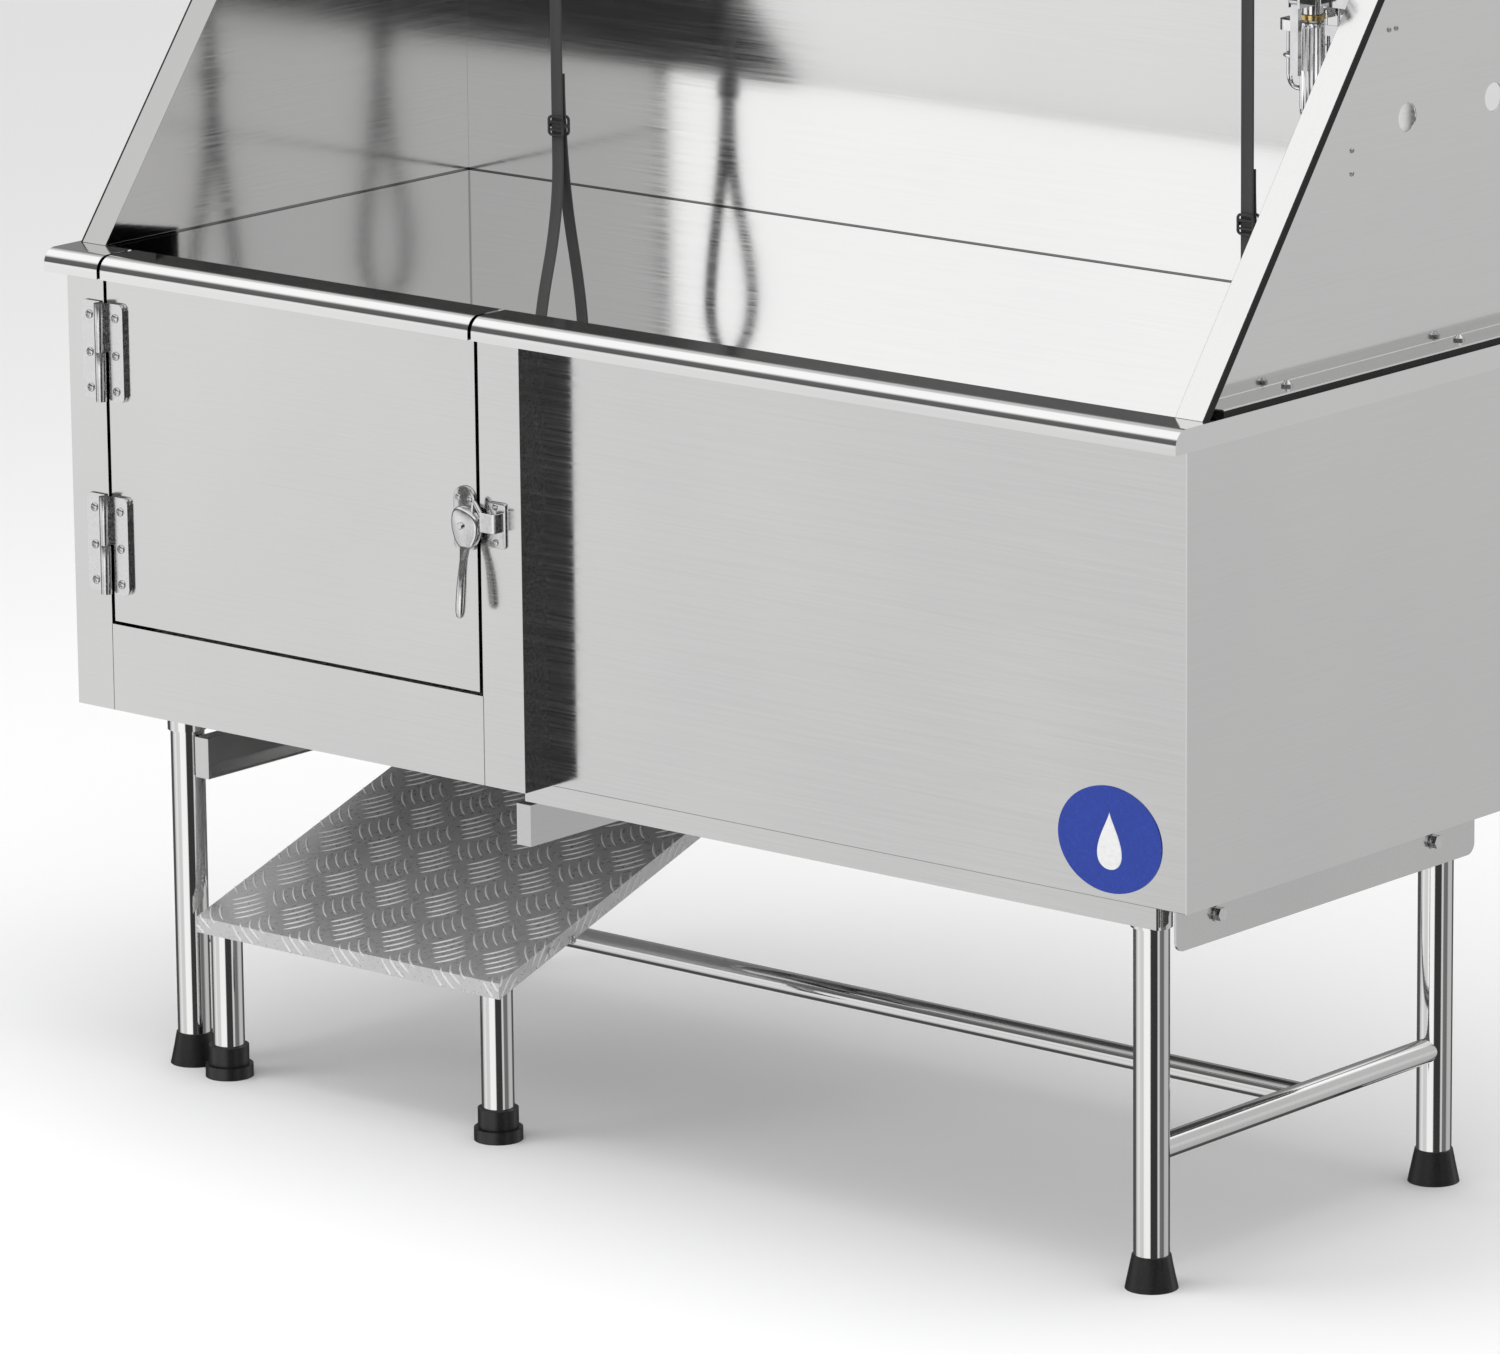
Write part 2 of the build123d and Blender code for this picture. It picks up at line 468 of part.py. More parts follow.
# --- Aprons under the tub -------------------------------------------------------------------------
APRON_Z = 397.0
SIDE_APRON_X = 747.0
with BuildPart() as aprons:
    for sign, y0, y1 in ((-1, -200.0, 260.0), (1, -289.0, 223.0)):
        block(sign * (SIDE_APRON_X - 3), sign * SIDE_APRON_X, y0, y1, 377, BODY_Z)
    fillet(aprons.edges().filter_by(Axis.X).group_by(Axis.Z)[0], 12)
    block(-136, 722, -290, -287, APRON_Z, BODY_Z)
save(aprons.part, "aprons")

with BuildPart() as apron_bolts:
    for sign in (-1, 1):
        face = sign * SIDE_APRON_X
        for y in (-170.0 if sign < 0 else -221.0, 150.0):
            with BuildSketch(Plane.YZ.offset(face)):
                with Locations((y, 405)):
                    Circle(9)
            extrude(amount=sign * 1.5)
            with BuildSketch(Plane.YZ.offset(face + sign * 1.5)):
                with Locations((y, 405)):
                    RegularPolygon(7.5, 6)
            extrude(amount=sign * 6)
save(apron_bolts.part, "apron_bolts")

# --- Ramp rails -----------------------------------------------------------------------------------
RAIL_WEBS = {"left": (-660.0, 1), "right": (-160.0, -1)}      # outer face of the web, side it opens to
for side, (web, opens) in RAIL_WEBS.items():
    with BuildPart() as rail:
        block(web, web + opens * RAIL_WIDTH, RAIL_Y0, RAIL_Y1, RAIL_Z0, RAIL_Z1)
        block(web + opens * RAIL_SKIN, web + opens * (RAIL_WIDTH + 1), RAIL_Y0 - 1, RAIL_Y1 + 1,
              RAIL_Z0 + RAIL_SKIN, RAIL_Z1 - RAIL_SKIN, Mode.SUBTRACT)
        for y in (-140.0, 180.0):
            block(web, web + opens * RAIL_WIDTH, y - 25, y + 25, BODY_Z - 3, BODY_Z)
            block(web, web + opens * RAIL_SKIN, y - 25, y + 25, RAIL_Z1, BODY_Z - 3)
        for y in (RAIL_Y0, RAIL_Y1 - RAIL_SKIN):
            block(web, web + opens * RAIL_WIDTH, y, y + RAIL_SKIN, RAIL_Z0, RAIL_Z1)
    save(rail.part, f"ramp_rail_{side}")


# --- Ramp -----------------------------------------------------------------------------------------
def ramp_z(y):
    """Height of the tread surface at y."""
    return RAMP_FRONT_Z + RAMP_SLOPE * (y - RAMP_FRONT_Y)


ramp_rear_z = ramp_z(RAMP_REAR_Y)
with BuildPart() as ramp_plate:
    side_profile([(RAMP_FRONT_Y, RAMP_FRONT_Z), (RAMP_FRONT_Y, RAMP_FRONT_Z - RAMP_SKIN),
                  (RAMP_REAR_Y, ramp_rear_z - RAMP_SKIN), (RAMP_REAR_Y, ramp_rear_z)], RAMP_X0, RAMP_X1)
    for x0, x1 in ((RAMP_X0, RAMP_X0 + RAMP_SKIN), (RAMP_X1 - RAMP_SKIN, RAMP_X1)):
        side_profile([(RAMP_FRONT_Y, RAMP_FRONT_Z), (RAMP_FRONT_Y, RAMP_FRONT_Z - RAMP_SKIRT),
                      (RAMP_REAR_Y, ramp_rear_z - RAMP_SKIRT), (RAMP_REAR_Y, ramp_rear_z)], x0, x1)
        rod_x(x0, x1, ROLLER_Y, ROLLER_Z, 14)
    block(RAMP_X0, RAMP_X1, RAMP_FRONT_Y, RAMP_FRONT_Y + RAMP_SKIN, RAMP_FRONT_Z - RAMP_SKIRT,
          RAMP_FRONT_Z - RAMP_SKIN / 2)
    block(RAMP_X0, RAMP_X1, RAMP_REAR_Y - RAMP_SKIN, RAMP_REAR_Y, ramp_rear_z - RAMP_SKIRT,
          ramp_rear_z - RAMP_SKIN)
    for x in (RAMP_X0, RAMP_X1):
        rod_x(x - 5, x + 5, ROLLER_Y, ROLLER_Z, 5, Mode.SUBTRACT)
save(ramp_plate.part, "ramp_plate")

with BuildPart() as ramp_legs:
    for x in RAMP_LEG_XS:
        post(x, RAMP_LEG_Y, 16, 260, LEG_R - 1)
        post(x, RAMP_LEG_Y, 174, 260, LEG_R + 0.4)
        post(x, RAMP_LEG_Y, 16, 260, LEG_R - 1 - TUBE_WALL, Mode.SUBTRACT)
    side_profile([(RAMP_LEG_Y - 40, ramp_z(RAMP_LEG_Y - 40) - RAMP_SKIN), (RAMP_LEG_Y - 40, 300),
                  (RAMP_LEG_Y + 40, 300), (RAMP_LEG_Y + 40, ramp_z(RAMP_LEG_Y + 40) - RAMP_SKIN)],
                 RAMP_X0, RAMP_X1, Mode.SUBTRACT)
save(ramp_legs.part, "ramp_legs")

with BuildPart() as ramp_feet:
    for x in RAMP_LEG_XS:
        post(x, RAMP_LEG_Y, 0, 14, 27)
        post(x, RAMP_LEG_Y, 14, 36, 22.5)
        post(x, RAMP_LEG_Y, 16, 36, LEG_R - 1, Mode.SUBTRACT)
save(ramp_feet.part, "ramp_feet")

STUBS = {"left": (-656.0, -656.5, RAMP_X0 + RAMP_SKIN), "right": (-164.0 - ROLLER_W, RAMP_X1 - RAMP_SKIN, -163.5)}
for side, (x0, stub0, stub1) in STUBS.items():
    x1 = x0 + ROLLER_W
    with BuildPart() as roller:
        rod_x(x0, x1, ROLLER_Y, ROLLER_Z, ROLLER_R)
        fillet(roller.edges().filter_by(GeomType.CIRCLE), 1.5)
        rod_x(x0, x1, ROLLER_Y, ROLLER_Z, 5.08, Mode.SUBTRACT)
    save(roller.part, f"ramp_roller_{side}")

with BuildPart() as ramp_axles:
    for x0, stub0, stub1 in STUBS.values():
        rod_x(stub0, stub1, ROLLER_Y, ROLLER_Z, 5)
    for x, sign in ((RAMP_X0, -1), (RAMP_X1, 1)):
        with BuildSketch(Plane.YZ.offset(x)):
            with Locations((-200, ramp_z(-200) - 10)):
                Circle(4.5)
        extrude(amount=sign * 2.2)
save(ramp_axles.part, "ramp_axle_bolts")

# --- Restraint bar and webbing loops --------------------------------------------------------------
with BuildPart() as restraint_bar:
    rod_x(-IN_HALF_X + 4, IN_HALF_X - 4, BAR_Y, BAR_Z, BAR_R)
    rod_x(-IN_HALF_X + 4, IN_HALF_X - 4, BAR_Y, BAR_Z, BAR_R - TUBE_WALL, Mode.SUBTRACT)
save(restraint_bar.part, "restraint_bar")

with BuildPart() as bar_flanges:
    for sign in (-1, 1):
        wall, face, end = (sign * (IN_HALF_X - depth) for depth in (0, 4, 24))
        rod_x(min(wall, face), max(wall, face), BAR_Y, BAR_Z, 30)
        rod_x(min(face, end), max(face, end), BAR_Y, BAR_Z, 17)
        rod_x(min(face, end), max(face, end), BAR_Y, BAR_Z, BAR_R, Mode.SUBTRACT)
save(bar_flanges.part, "bar_flanges")

RING_R, RING_WIRE = 19.0, 2.5
RING_Z = BAR_Z + BAR_R + 0.3 - (RING_R - RING_WIRE)          # the ring hangs on the bar
STRAP_TOP_Z = RING_Z - RING_R - RING_WIRE
STRAP_ROUTE = [(160, STRAP_TOP_Z), (160, 935), (121, 805), (128, 742), (162, 714), (194, 742), (201, 805),
               (164, 985), (164, 1090)]
SLIDER_Z = 1031.0


def arc_radii(points):
    """Bend radii that leave a short straight run between the bends."""
    radii = []
    for a, b, c in zip(points, points[1:], points[2:]):
        first, second = Vector(*b) - Vector(*a), Vector(*c) - Vector(*b)
        turn = radians(first.get_angle(second))
        radii.append(0.45 * min(first.length, second.length) / tan(turn / 2))
    return radii


for side, x in STRAP_XS.items():
    with BuildPart() as ring:
        with Locations(Location((x, BAR_Y, RING_Z), (0, 90, 0))):
            Torus(RING_R, RING_WIRE)
    save(ring.part, f"strap_ring_{side}")

    with BuildPart() as strap:
        with BuildSketch(Plane.YZ.offset(x - STRAP_WIDTH / 2)):
            with BuildLine() as route:
                FilletPolyline(*STRAP_ROUTE, radius=arc_radii(STRAP_ROUTE))
            trace(route.line, STRAP_THICK)
        extrude(amount=STRAP_WIDTH)
    save(strap.part, f"strap_{side}")

    with BuildPart() as slider:
        block(x - 12, x + 12, 155.5, 169, SLIDER_Z - 12, SLIDER_Z + 12)
        fillet(slider.edges().filter_by(Axis.Y), 3)
        block(x - STRAP_WIDTH / 2 - 0.4, x + STRAP_WIDTH / 2 + 0.4, 158, 166.5, SLIDER_Z - 13, SLIDER_Z + 13,
              Mode.SUBTRACT)
    save(slider.part, f"strap_slider_{side}")

# --- Sprayer, ring and basket on the right splash guard -------------------------------------------
SPRAY_X, SPRAY_Y = 690.0, 9.0
GRIP_Z0, GRIP_Z1 = 1190.0, 1290.0
with BuildPart() as sprayer_grip:
    post(SPRAY_X, SPRAY_Y, GRIP_Z0, GRIP_Z1, 13)
save(sprayer_grip.part, "sprayer_grip")

with BuildPart() as sprayer_collars:
    post(SPRAY_X, SPRAY_Y, GRIP_Z0 - 5, GRIP_Z0, 11)
    post(SPRAY_X, SPRAY_Y, GRIP_Z1, GRIP_Z1 + 5, 14)
    post(SPRAY_X, SPRAY_Y, GRIP_Z0 - 22, GRIP_Z0 - 5, 8)
save(sprayer_collars.part, "sprayer_collars")

HEAD_Z = 1345.0
with BuildPart() as sprayer_head:
    post(SPRAY_X, SPRAY_Y, GRIP_Z1 + 5, HEAD_Z, 11)
    with Locations(Location((SPRAY_X, SPRAY_Y - 6, HEAD_Z), (78, 0, 0))):
        Cone(14, 26, 46, align=(Align.CENTER, Align.CENTER, Align.MIN))
    for x in (SPRAY_X - 8.5, SPRAY_X + 5.5):
        block(x, x + 3, SPRAY_Y - 33, SPRAY_Y, GRIP_Z1 + 15, GRIP_Z1 + 29)
    rod_x(SPRAY_X - 6, SPRAY_X + 6, SPRAY_Y - 28, GRIP_Z1 + 22, 2)
save(sprayer_head.part, "sprayer_head")

TRIGGER_Y, TRIGGER_PIVOT_Z = SPRAY_Y - 28.0, GRIP_Z1 + 22.0
with BuildPart() as sprayer_trigger:
    block(SPRAY_X - 5, SPRAY_X + 5, TRIGGER_Y - 3, TRIGGER_Y + 3, GRIP_Z1 - 55, TRIGGER_PIVOT_Z)
    rod_x(SPRAY_X - 5, SPRAY_X + 5, TRIGGER_Y, TRIGGER_PIVOT_Z, 5)
    rod_x(SPRAY_X - 5, SPRAY_X + 5, TRIGGER_Y, TRIGGER_PIVOT_Z, 2.08, Mode.SUBTRACT)
save(sprayer_trigger.part, "sprayer_trigger")

with BuildPart() as sprayer_bracket:
    block(IN_HALF_X - 3, IN_HALF_X, SPRAY_Y - 4, SPRAY_Y + 30, GRIP_Z1 + 8, GRIP_Z1 + 36)
    block(SPRAY_X - 18, IN_HALF_X - 3, SPRAY_Y - 2, SPRAY_Y + 20, GRIP_Z1 + 14, GRIP_Z1 + 26)
    post(SPRAY_X, SPRAY_Y, GRIP_Z1 + 8, GRIP_Z1 + 36, 11.4, Mode.SUBTRACT)
    block(SPRAY_X - 11.4, SPRAY_X + 11.4, SPRAY_Y - 20, SPRAY_Y, GRIP_Z1 + 8, GRIP_Z1 + 36, Mode.SUBTRACT)
save(sprayer_bracket.part, "sprayer_bracket")

BASKET_X0, BASKET_X1, BASKET_Y0, BASKET_Y1 = 610.0, 743.0, 52.0, 262.0
BASKET_Z0, BASKET_Z1, BASKET_BAND, WIRE = 1200.0, 1276.0, 11.0, 1.5
with BuildPart() as basket:
    block(BASKET_X0, BASKET_X1, BASKET_Y0, BASKET_Y1, BASKET_Z1 - BASKET_BAND, BASKET_Z1)
    block(BASKET_X0 + SHEET, BASKET_X1 - SHEET, BASKET_Y0 + SHEET, BASKET_Y1 - SHEET,
          BASKET_Z1 - BASKET_BAND, BASKET_Z1, Mode.SUBTRACT)
    block(BASKET_X0 + 8, BASKET_X1, BASKET_Y0 + 8, BASKET_Y1 - 8, BASKET_Z0, BASKET_Z0 + 2 * WIRE)
    for x0, x1, y0, y1 in (
        (BASKET_X0, BASKET_X0 + SHEET, BASKET_Y0, BASKET_Y1), (BASKET_X1 - SHEET, BASKET_X1, BASKET_Y0, BASKET_Y1),
        (BASKET_X0, BASKET_X1, BASKET_Y0, BASKET_Y0 + SHEET), (BASKET_X0, BASKET_X1, BASKET_Y1 - SHEET, BASKET_Y1),
    ):
        block(x0, x1, y0, y1, BASKET_Z0, BASKET_Z1 - BASKET_BAND)
save(basket.part, "wire_basket")

with BuildPart() as badge:
    with BuildSketch(Plane.XZ.offset(-BODY_FRONT_Y)):
        with Locations((663.4, 483.3)):
            Ellipse(67, 56)
    extrude(amount=1)
save(badge.part, "badge")
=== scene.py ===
import json
import math

import bpy
from mathutils import Matrix, Vector


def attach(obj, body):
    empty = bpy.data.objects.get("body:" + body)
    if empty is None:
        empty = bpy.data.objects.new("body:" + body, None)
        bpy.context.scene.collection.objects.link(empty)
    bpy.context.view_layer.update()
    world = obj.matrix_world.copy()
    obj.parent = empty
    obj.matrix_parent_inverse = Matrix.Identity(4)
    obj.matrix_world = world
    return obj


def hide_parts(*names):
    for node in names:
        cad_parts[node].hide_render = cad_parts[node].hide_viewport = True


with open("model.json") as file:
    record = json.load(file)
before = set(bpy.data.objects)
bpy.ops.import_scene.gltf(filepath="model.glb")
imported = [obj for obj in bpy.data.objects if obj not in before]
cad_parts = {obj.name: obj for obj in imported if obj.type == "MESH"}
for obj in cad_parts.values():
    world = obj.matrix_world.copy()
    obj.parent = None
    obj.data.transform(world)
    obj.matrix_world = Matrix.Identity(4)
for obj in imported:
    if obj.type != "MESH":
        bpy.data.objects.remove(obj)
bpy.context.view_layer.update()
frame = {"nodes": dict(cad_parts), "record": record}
NODES = frame["nodes"]
BODY_OF = {node: body for body, members in frame["record"]["behaviour"]["bodies"].items() for node in members}
SHIFT_Y = 0.0115                # part.py's CENTRE_Y: depths there are measured from the rim's middle


# --- Camera ---------------------------------------------------------------------------------------
AZIMUTH, ELEVATION, ROLL = (math.radians(a) for a in (40.528, 13.584, -0.588))
right = Vector((math.cos(AZIMUTH), math.sin(AZIMUTH), 0))
ahead = Vector((-math.sin(AZIMUTH) * math.cos(ELEVATION), math.cos(AZIMUTH) * math.cos(ELEVATION),
                -math.sin(ELEVATION)))
up = right.cross(ahead)
right, up = (right * math.cos(ROLL) + up * math.sin(ROLL), up * math.cos(ROLL) - right * math.sin(ROLL))
camera = bpy.data.objects.new("camera", bpy.data.cameras.new("camera"))
bpy.context.scene.collection.objects.link(camera)
camera.data.sensor_width = 36
camera.data.lens = 221.67
camera.data.clip_start, camera.data.clip_end = 0.5, 100
camera.matrix_world = Matrix.Translation((6.2909, -7.4226, 2.8527)) @ Matrix(
    (right, up, -ahead)).transposed().to_4x4()
bpy.context.scene.camera = camera
bpy.context.scene.view_settings.view_transform = "Standard"


# --- Materials ------------------------------------------------------------------------------------
def new_material(name, colour, metallic, roughness):
    mat = bpy.data.materials.new(name)
    mat.use_nodes = True
    tree = mat.node_tree
    shader = tree.nodes["Principled BSDF"]
    shader.inputs["Base Color"].default_value = (*colour, 1)
    shader.inputs["Metallic"].default_value = metallic
    shader.inputs["Roughness"].default_value = roughness
    return mat, tree, shader


def add(tree, kind, **values):
    node = tree.nodes.new(kind)
    for key, value in values.items():
        if key in node.inputs:
            node.inputs[key].default_value = value
        else:
            setattr(node, key.lower(), value)
    return node


def noise(tree, stretch, detail):
    """Noise in row coordinates, stretch being its cycles per metre along each axis."""
    place = add(tree, "ShaderNodeTexCoord")
    mapping = add(tree, "ShaderNodeMapping")
    mapping.inputs["Scale"].default_value = stretch
    tex = add(tree, "ShaderNodeTexNoise", Scale=1.0, Detail=detail, Roughness=0.55)
    tree.links.new(place.outputs["Object"], mapping.inputs["Vector"])
    tree.links.new(mapping.outputs["Vector"], tex.inputs["Vector"])
    return tex.outputs["Fac"]


def ranged(tree, value, low, high, from_low=0.3, from_high=0.7):
    node = add(tree, "ShaderNodeMapRange")
    limits = {"From Min": from_low, "From Max": from_high, "To Min": low, "To Max": high}
    for socket, number in limits.items():
        node.inputs[socket].default_value = number
    tree.links.new(value, node.inputs["Value"])
    return node.outputs["Result"]


MIX_FACTOR, MIX_A, MIX_B, MIX_RESULT = 0, 6, 7, 2        # the Mix node's sockets for colours


def tinted(tree, value, dark, light, from_low=0.3, from_high=0.7):
    mix = add(tree, "ShaderNodeMix", data_type="RGBA")
    mix.inputs[MIX_A].default_value = (*dark, 1)
    mix.inputs[MIX_B].default_value = (*light, 1)
    tree.links.new(ranged(tree, value, 0, 1, from_low, from_high), mix.inputs[MIX_FACTOR])
    return mix.outputs[MIX_RESULT]


def bumped(tree, shader, value, strength, distance):
    node = add(tree, "ShaderNodeBump", Strength=strength, Distance=distance)
    tree.links.new(value, node.inputs["Height"])
    tree.links.new(node.outputs["Normal"], shader.inputs["Normal"])


BRUSHED_GRAIN, CAST_GRAIN = 0.0002, 0.0003               # heights of the surface noise


def steel(name, level, grain, roughness, spread=0.06, contrast=0.06, bump=0.15):
    """Sheet steel with a brushed grain; grain is the noise's cycles per metre along X, Y and Z."""
    mat, tree, shader = new_material(name, (level,) * 3, 1.0, roughness)
    lines = noise(tree, grain, 4.0)
    cloud = noise(tree, (3.1, 3.1, 3.1), 2.0)
    tree.links.new(ranged(tree, lines, roughness - spread, roughness + spread), shader.inputs["Roughness"])
    mixed = add(tree, "ShaderNodeMath", operation="MULTIPLY_ADD")
    mixed.inputs[1].default_value = 0.6
    tree.links.new(lines, mixed.inputs[0])
    tree.links.new(ranged(tree, cloud, 0.1, 0.3), mixed.inputs[2])
    warm = (level + contrast / 2, level + contrast / 2 - 0.003, level + contrast / 2 - 0.008)
    cool = (level - contrast / 2,) * 3
    tree.links.new(tinted(tree, mixed.outputs[0], cool, warm), shader.inputs["Base Color"])
    bumped(tree, shader, lines, bump, BRUSHED_GRAIN)
    return mat


def plain(name, dark, light, metallic, roughness, scale, bump, spread=0.08):
    """A moulded, cast or rubber surface: fine even noise in colour, gloss and height."""
    mat, tree, shader = new_material(name, light, metallic, roughness)
    grain = noise(tree, (scale,) * 3, 4.0)
    tree.links.new(tinted(tree, grain, dark, light), shader.inputs["Base Color"])
    tree.links.new(ranged(tree, grain, roughness - spread, roughness + spread), shader.inputs["Roughness"])
    bumped(tree, shader, grain, bump, CAST_GRAIN)
    return mat


def paint_in_shade(mat, level, regions):
    """Paints shade into a steel's colour: darkens it where every (axis, full at, none at) ramp in regions is
    on.
    """
    tree = mat.node_tree
    shader = tree.nodes["Principled BSDF"]
    old = shader.inputs["Base Color"].links[0].from_socket
    place = add(tree, "ShaderNodeTexCoord")
    split = add(tree, "ShaderNodeSeparateXYZ")
    tree.links.new(place.outputs["Object"], split.inputs[0])
    factor = None
    for axis, full, none in regions:
        step = ranged(tree, split.outputs[axis], 1, 0, full, none)
        if factor is not None:
            both = add(tree, "ShaderNodeMath", operation="MULTIPLY")
            tree.links.new(factor, both.inputs[0])
            tree.links.new(step, both.inputs[1])
            step = both.outputs[0]
        factor = step
    dim = add(tree, "ShaderNodeMix", data_type="RGBA", blend_type="MULTIPLY")
    dim.inputs[MIX_B].default_value = (level, level, level, 1)
    tree.links.new(factor, dim.inputs[MIX_FACTOR])
    tree.links.new(old, dim.inputs[MIX_A])
    tree.links.new(dim.outputs[MIX_RESULT], shader.inputs["Base Color"])
    return mat


along_x, along_y, along_z = (6, 420, 420), (420, 6, 420), (420, 420, 6)
MATS = {
    "front": steel("brushed_front", 0.64, along_x, 0.15),
    "side": steel("brushed_side", 0.70, along_y, 0.12, 0.03, 0.04, 0.06),
    # Painted shade: the left splash is a darker copy of the wall steel (0.44 against 0.76).
    "left": steel("brushed_left_shade_painted", 0.44, along_y, 0.13, 0.03, 0.03, 0.05),
    "wall": steel("brushed_wall", 0.76, along_x, 0.12, 0.03, 0.04, 0.06),
    # Painted shade: the basin walls are darkened to 0.55 of their colour at the left end, left of x = -0.7445
    # m.
    "basin": paint_in_shade(steel("brushed_basin_shade_painted", 0.76, along_x, 0.12, 0.03, 0.04, 0.06), 0.55,
                    [("X", -0.7445, -0.7425)]),
    # Painted shade: the deck is darkened to 0.2 of its colour within |x| < 0.7466 m and -0.26 m < y < 0.321
    # m, so its edges at the seams read dark; outside that box the steel keeps its own colour.
    "deck": paint_in_shade(steel("polished_deck_shade_painted", 0.74, along_x, 0.1, 0.03, 0.04, 0.06), 0.2,
                   [("X", 0.7466, 0.7468), ("X", -0.7466, -0.7468), ("Y", 0.3210, 0.3212),
                    ("Y", -0.26, -0.262)]),
    "seal": plain("black_seal", (0.002, 0.002, 0.002), (0.006, 0.006, 0.006), 0.0, 0.6, 420, 0.25),
    "inside": steel("brushed_inside", 0.70, along_x, 0.16),
    "rim": steel("polished_rim", 0.74, along_x, 0.1, 0.03, 0.04, 0.06),
    "tube": steel("polished_tube", 0.74, along_z, 0.07, 0.03, 0.05, 0.05),
    "rail": steel("folded_rail", 0.6, along_y, 0.2),
    "chrome": plain("chrome_wire", (0.7, 0.7, 0.72), (0.8, 0.8, 0.8), 1.0, 0.08, 90, 0.05, spread=0.03),
    "cast": plain("cast_hardware", (0.62, 0.62, 0.62), (0.74, 0.74, 0.74), 1.0, 0.2, 260, 0.12),
    "tread": plain("tread_sheet", (0.52, 0.52, 0.525), (0.60, 0.60, 0.60), 0.42, 0.32, 160, 0.02),
    "tread_bar": plain("tread_bar_tops", (0.86, 0.86, 0.86), (0.94, 0.94, 0.94), 0.35, 0.36, 200, 0.1),
    "rubber": plain("black_rubber", (0.005, 0.005, 0.005), (0.014, 0.014, 0.015), 0.0, 0.38, 420, 0.25),
    "plastic": plain("black_plastic", (0.012, 0.012, 0.012), (0.03, 0.03, 0.03), 0.0, 0.35, 350, 0.15),
    "brass": plain("brass", (0.5, 0.36, 0.13), (0.72, 0.55, 0.26), 1.0, 0.2, 200, 0.1),
    "blue": plain("badge_blue", (0.002, 0.03, 0.30), (0.004, 0.04, 0.36), 0.0, 0.25, 240, 0.05, spread=0.04),
    "white": plain("badge_white", (0.78, 0.78, 0.78), (0.86, 0.86, 0.86), 0.0, 0.3, 240, 0.05, spread=0.04),
}


def webbing():
    """Woven polyester: cross ribs along the strap and a fine twill across it, from the ribbon's UVs."""
    mat, tree, shader = new_material("webbing", (0.04, 0.04, 0.04), 0.0, 0.75)
    place = add(tree, "ShaderNodeTexCoord")
    split = add(tree, "ShaderNodeSeparateXYZ")
    tree.links.new(place.outputs["UV"], split.inputs[0])
    waves = []
    for axis, cycles in (("Y", 700.0), ("X", 900.0)):
        scaled = add(tree, "ShaderNodeMath", operation="MULTIPLY")
        scaled.inputs[1].default_value = cycles * math.pi
        tree.links.new(split.outputs[axis], scaled.inputs[0])
        sine = add(tree, "ShaderNodeMath", operation="SINE")
        tree.links.new(scaled.outputs[0], sine.inputs[0])
        waves.append(sine.outputs[0])
    weave = add(tree, "ShaderNodeMath", operation="MULTIPLY")
    tree.links.new(waves[0], weave.inputs[0])
    tree.links.new(waves[1], weave.inputs[1])
    tree.links.new(tinted(tree, weave.outputs[0], (0.018, 0.018, 0.018), (0.06, 0.06, 0.062), -1, 1),
                   shader.inputs["Base Color"])
    shader.inputs["Sheen Weight"].default_value = 0.3
    bumped(tree, shader, weave.outputs[0], 0.5, 0.0004)
    return mat


MATS["webbing"] = webbing()

HINGE_LEAVES = [f"hinge_{level}_{side}_leaf" for level in ("upper", "lower") for side in ("frame", "door")]
BY_MATERIAL = {
    "front": ["door_frame", "door_outer_panel", "front_panel", "aprons"],
    "wall": ["splash_back", "door_inner_panel"],
    "basin": ["basin_walls"],
    "inside": ["basin_floor", "floor_grates", "drain_strainer", "underpan"],
    "side": ["side_panels", "splash_right"],
    "left": ["splash_left"],
    "rim": ["rim_front_left", "rim_front_right", "door_rim"],
    "deck": ["rim_sides"],
    "seal": ["splash_seals"],
    "rail": ["ramp_rail_left", "ramp_rail_right"],
    "tube": ["legs", "leg_sockets", "stretcher_frame", "ramp_legs", "restraint_bar"],
    "cast": [*HINGE_LEAVES, "hinge_pins", "frame_screws", "door_screws", "latch_base", "latch_lever",
             "latch_keeper", "splash_bolts", "apron_bolts", "ramp_axle_bolts", "bar_flanges"],
    "chrome": ["strap_ring_left", "strap_ring_right", "sprayer_head", "sprayer_trigger", "sprayer_bracket",
               "sprayer_grip", "wire_basket"],
    "tread": ["ramp_plate"],
    "rubber": ["door_gasket", "leg_feet", "ramp_feet"],
    "plastic": ["strap_slider_left", "strap_slider_right", "ramp_roller_left", "ramp_roller_right",
                "drain_tailpipe"],
    "webbing": ["strap_left", "strap_right"],
    "brass": ["sprayer_collars"],
    "blue": ["badge"],
}
for key, members in BY_MATERIAL.items():
    for node in members:
        NODES[node].data.materials.clear()
        NODES[node].data.materials.append(MATS[key])


# --- Mesh helpers ---------------------------------------------------------------------------------
def piece(name, verts, faces, material, body, replaced=(), angle=35.0, uvs=None):
    """A new mesh object in the row frame that rides on a body."""
    mesh = bpy.data.meshes.new(name)
    mesh.from_pydata([tuple(v) for v in verts], [], faces)
    mesh.validate()
    if uvs:
        layer = mesh.uv_layers.new(name="UVMap")
        for loop in mesh.loops:
            layer.data[loop.index].uv = uvs[loop.vertex_index]
    mesh.materials.append(MATS[material])
    mesh.polygons.foreach_set("use_smooth", [True] * len(mesh.polygons))
    mesh.set_sharp_from_angle(angle=math.radians(angle))
    obj = bpy.data.objects.new(name, mesh)
    bpy.context.scene.collection.objects.link(obj)
    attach(obj, body)
    if replaced:
        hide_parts(*replaced)
    return obj


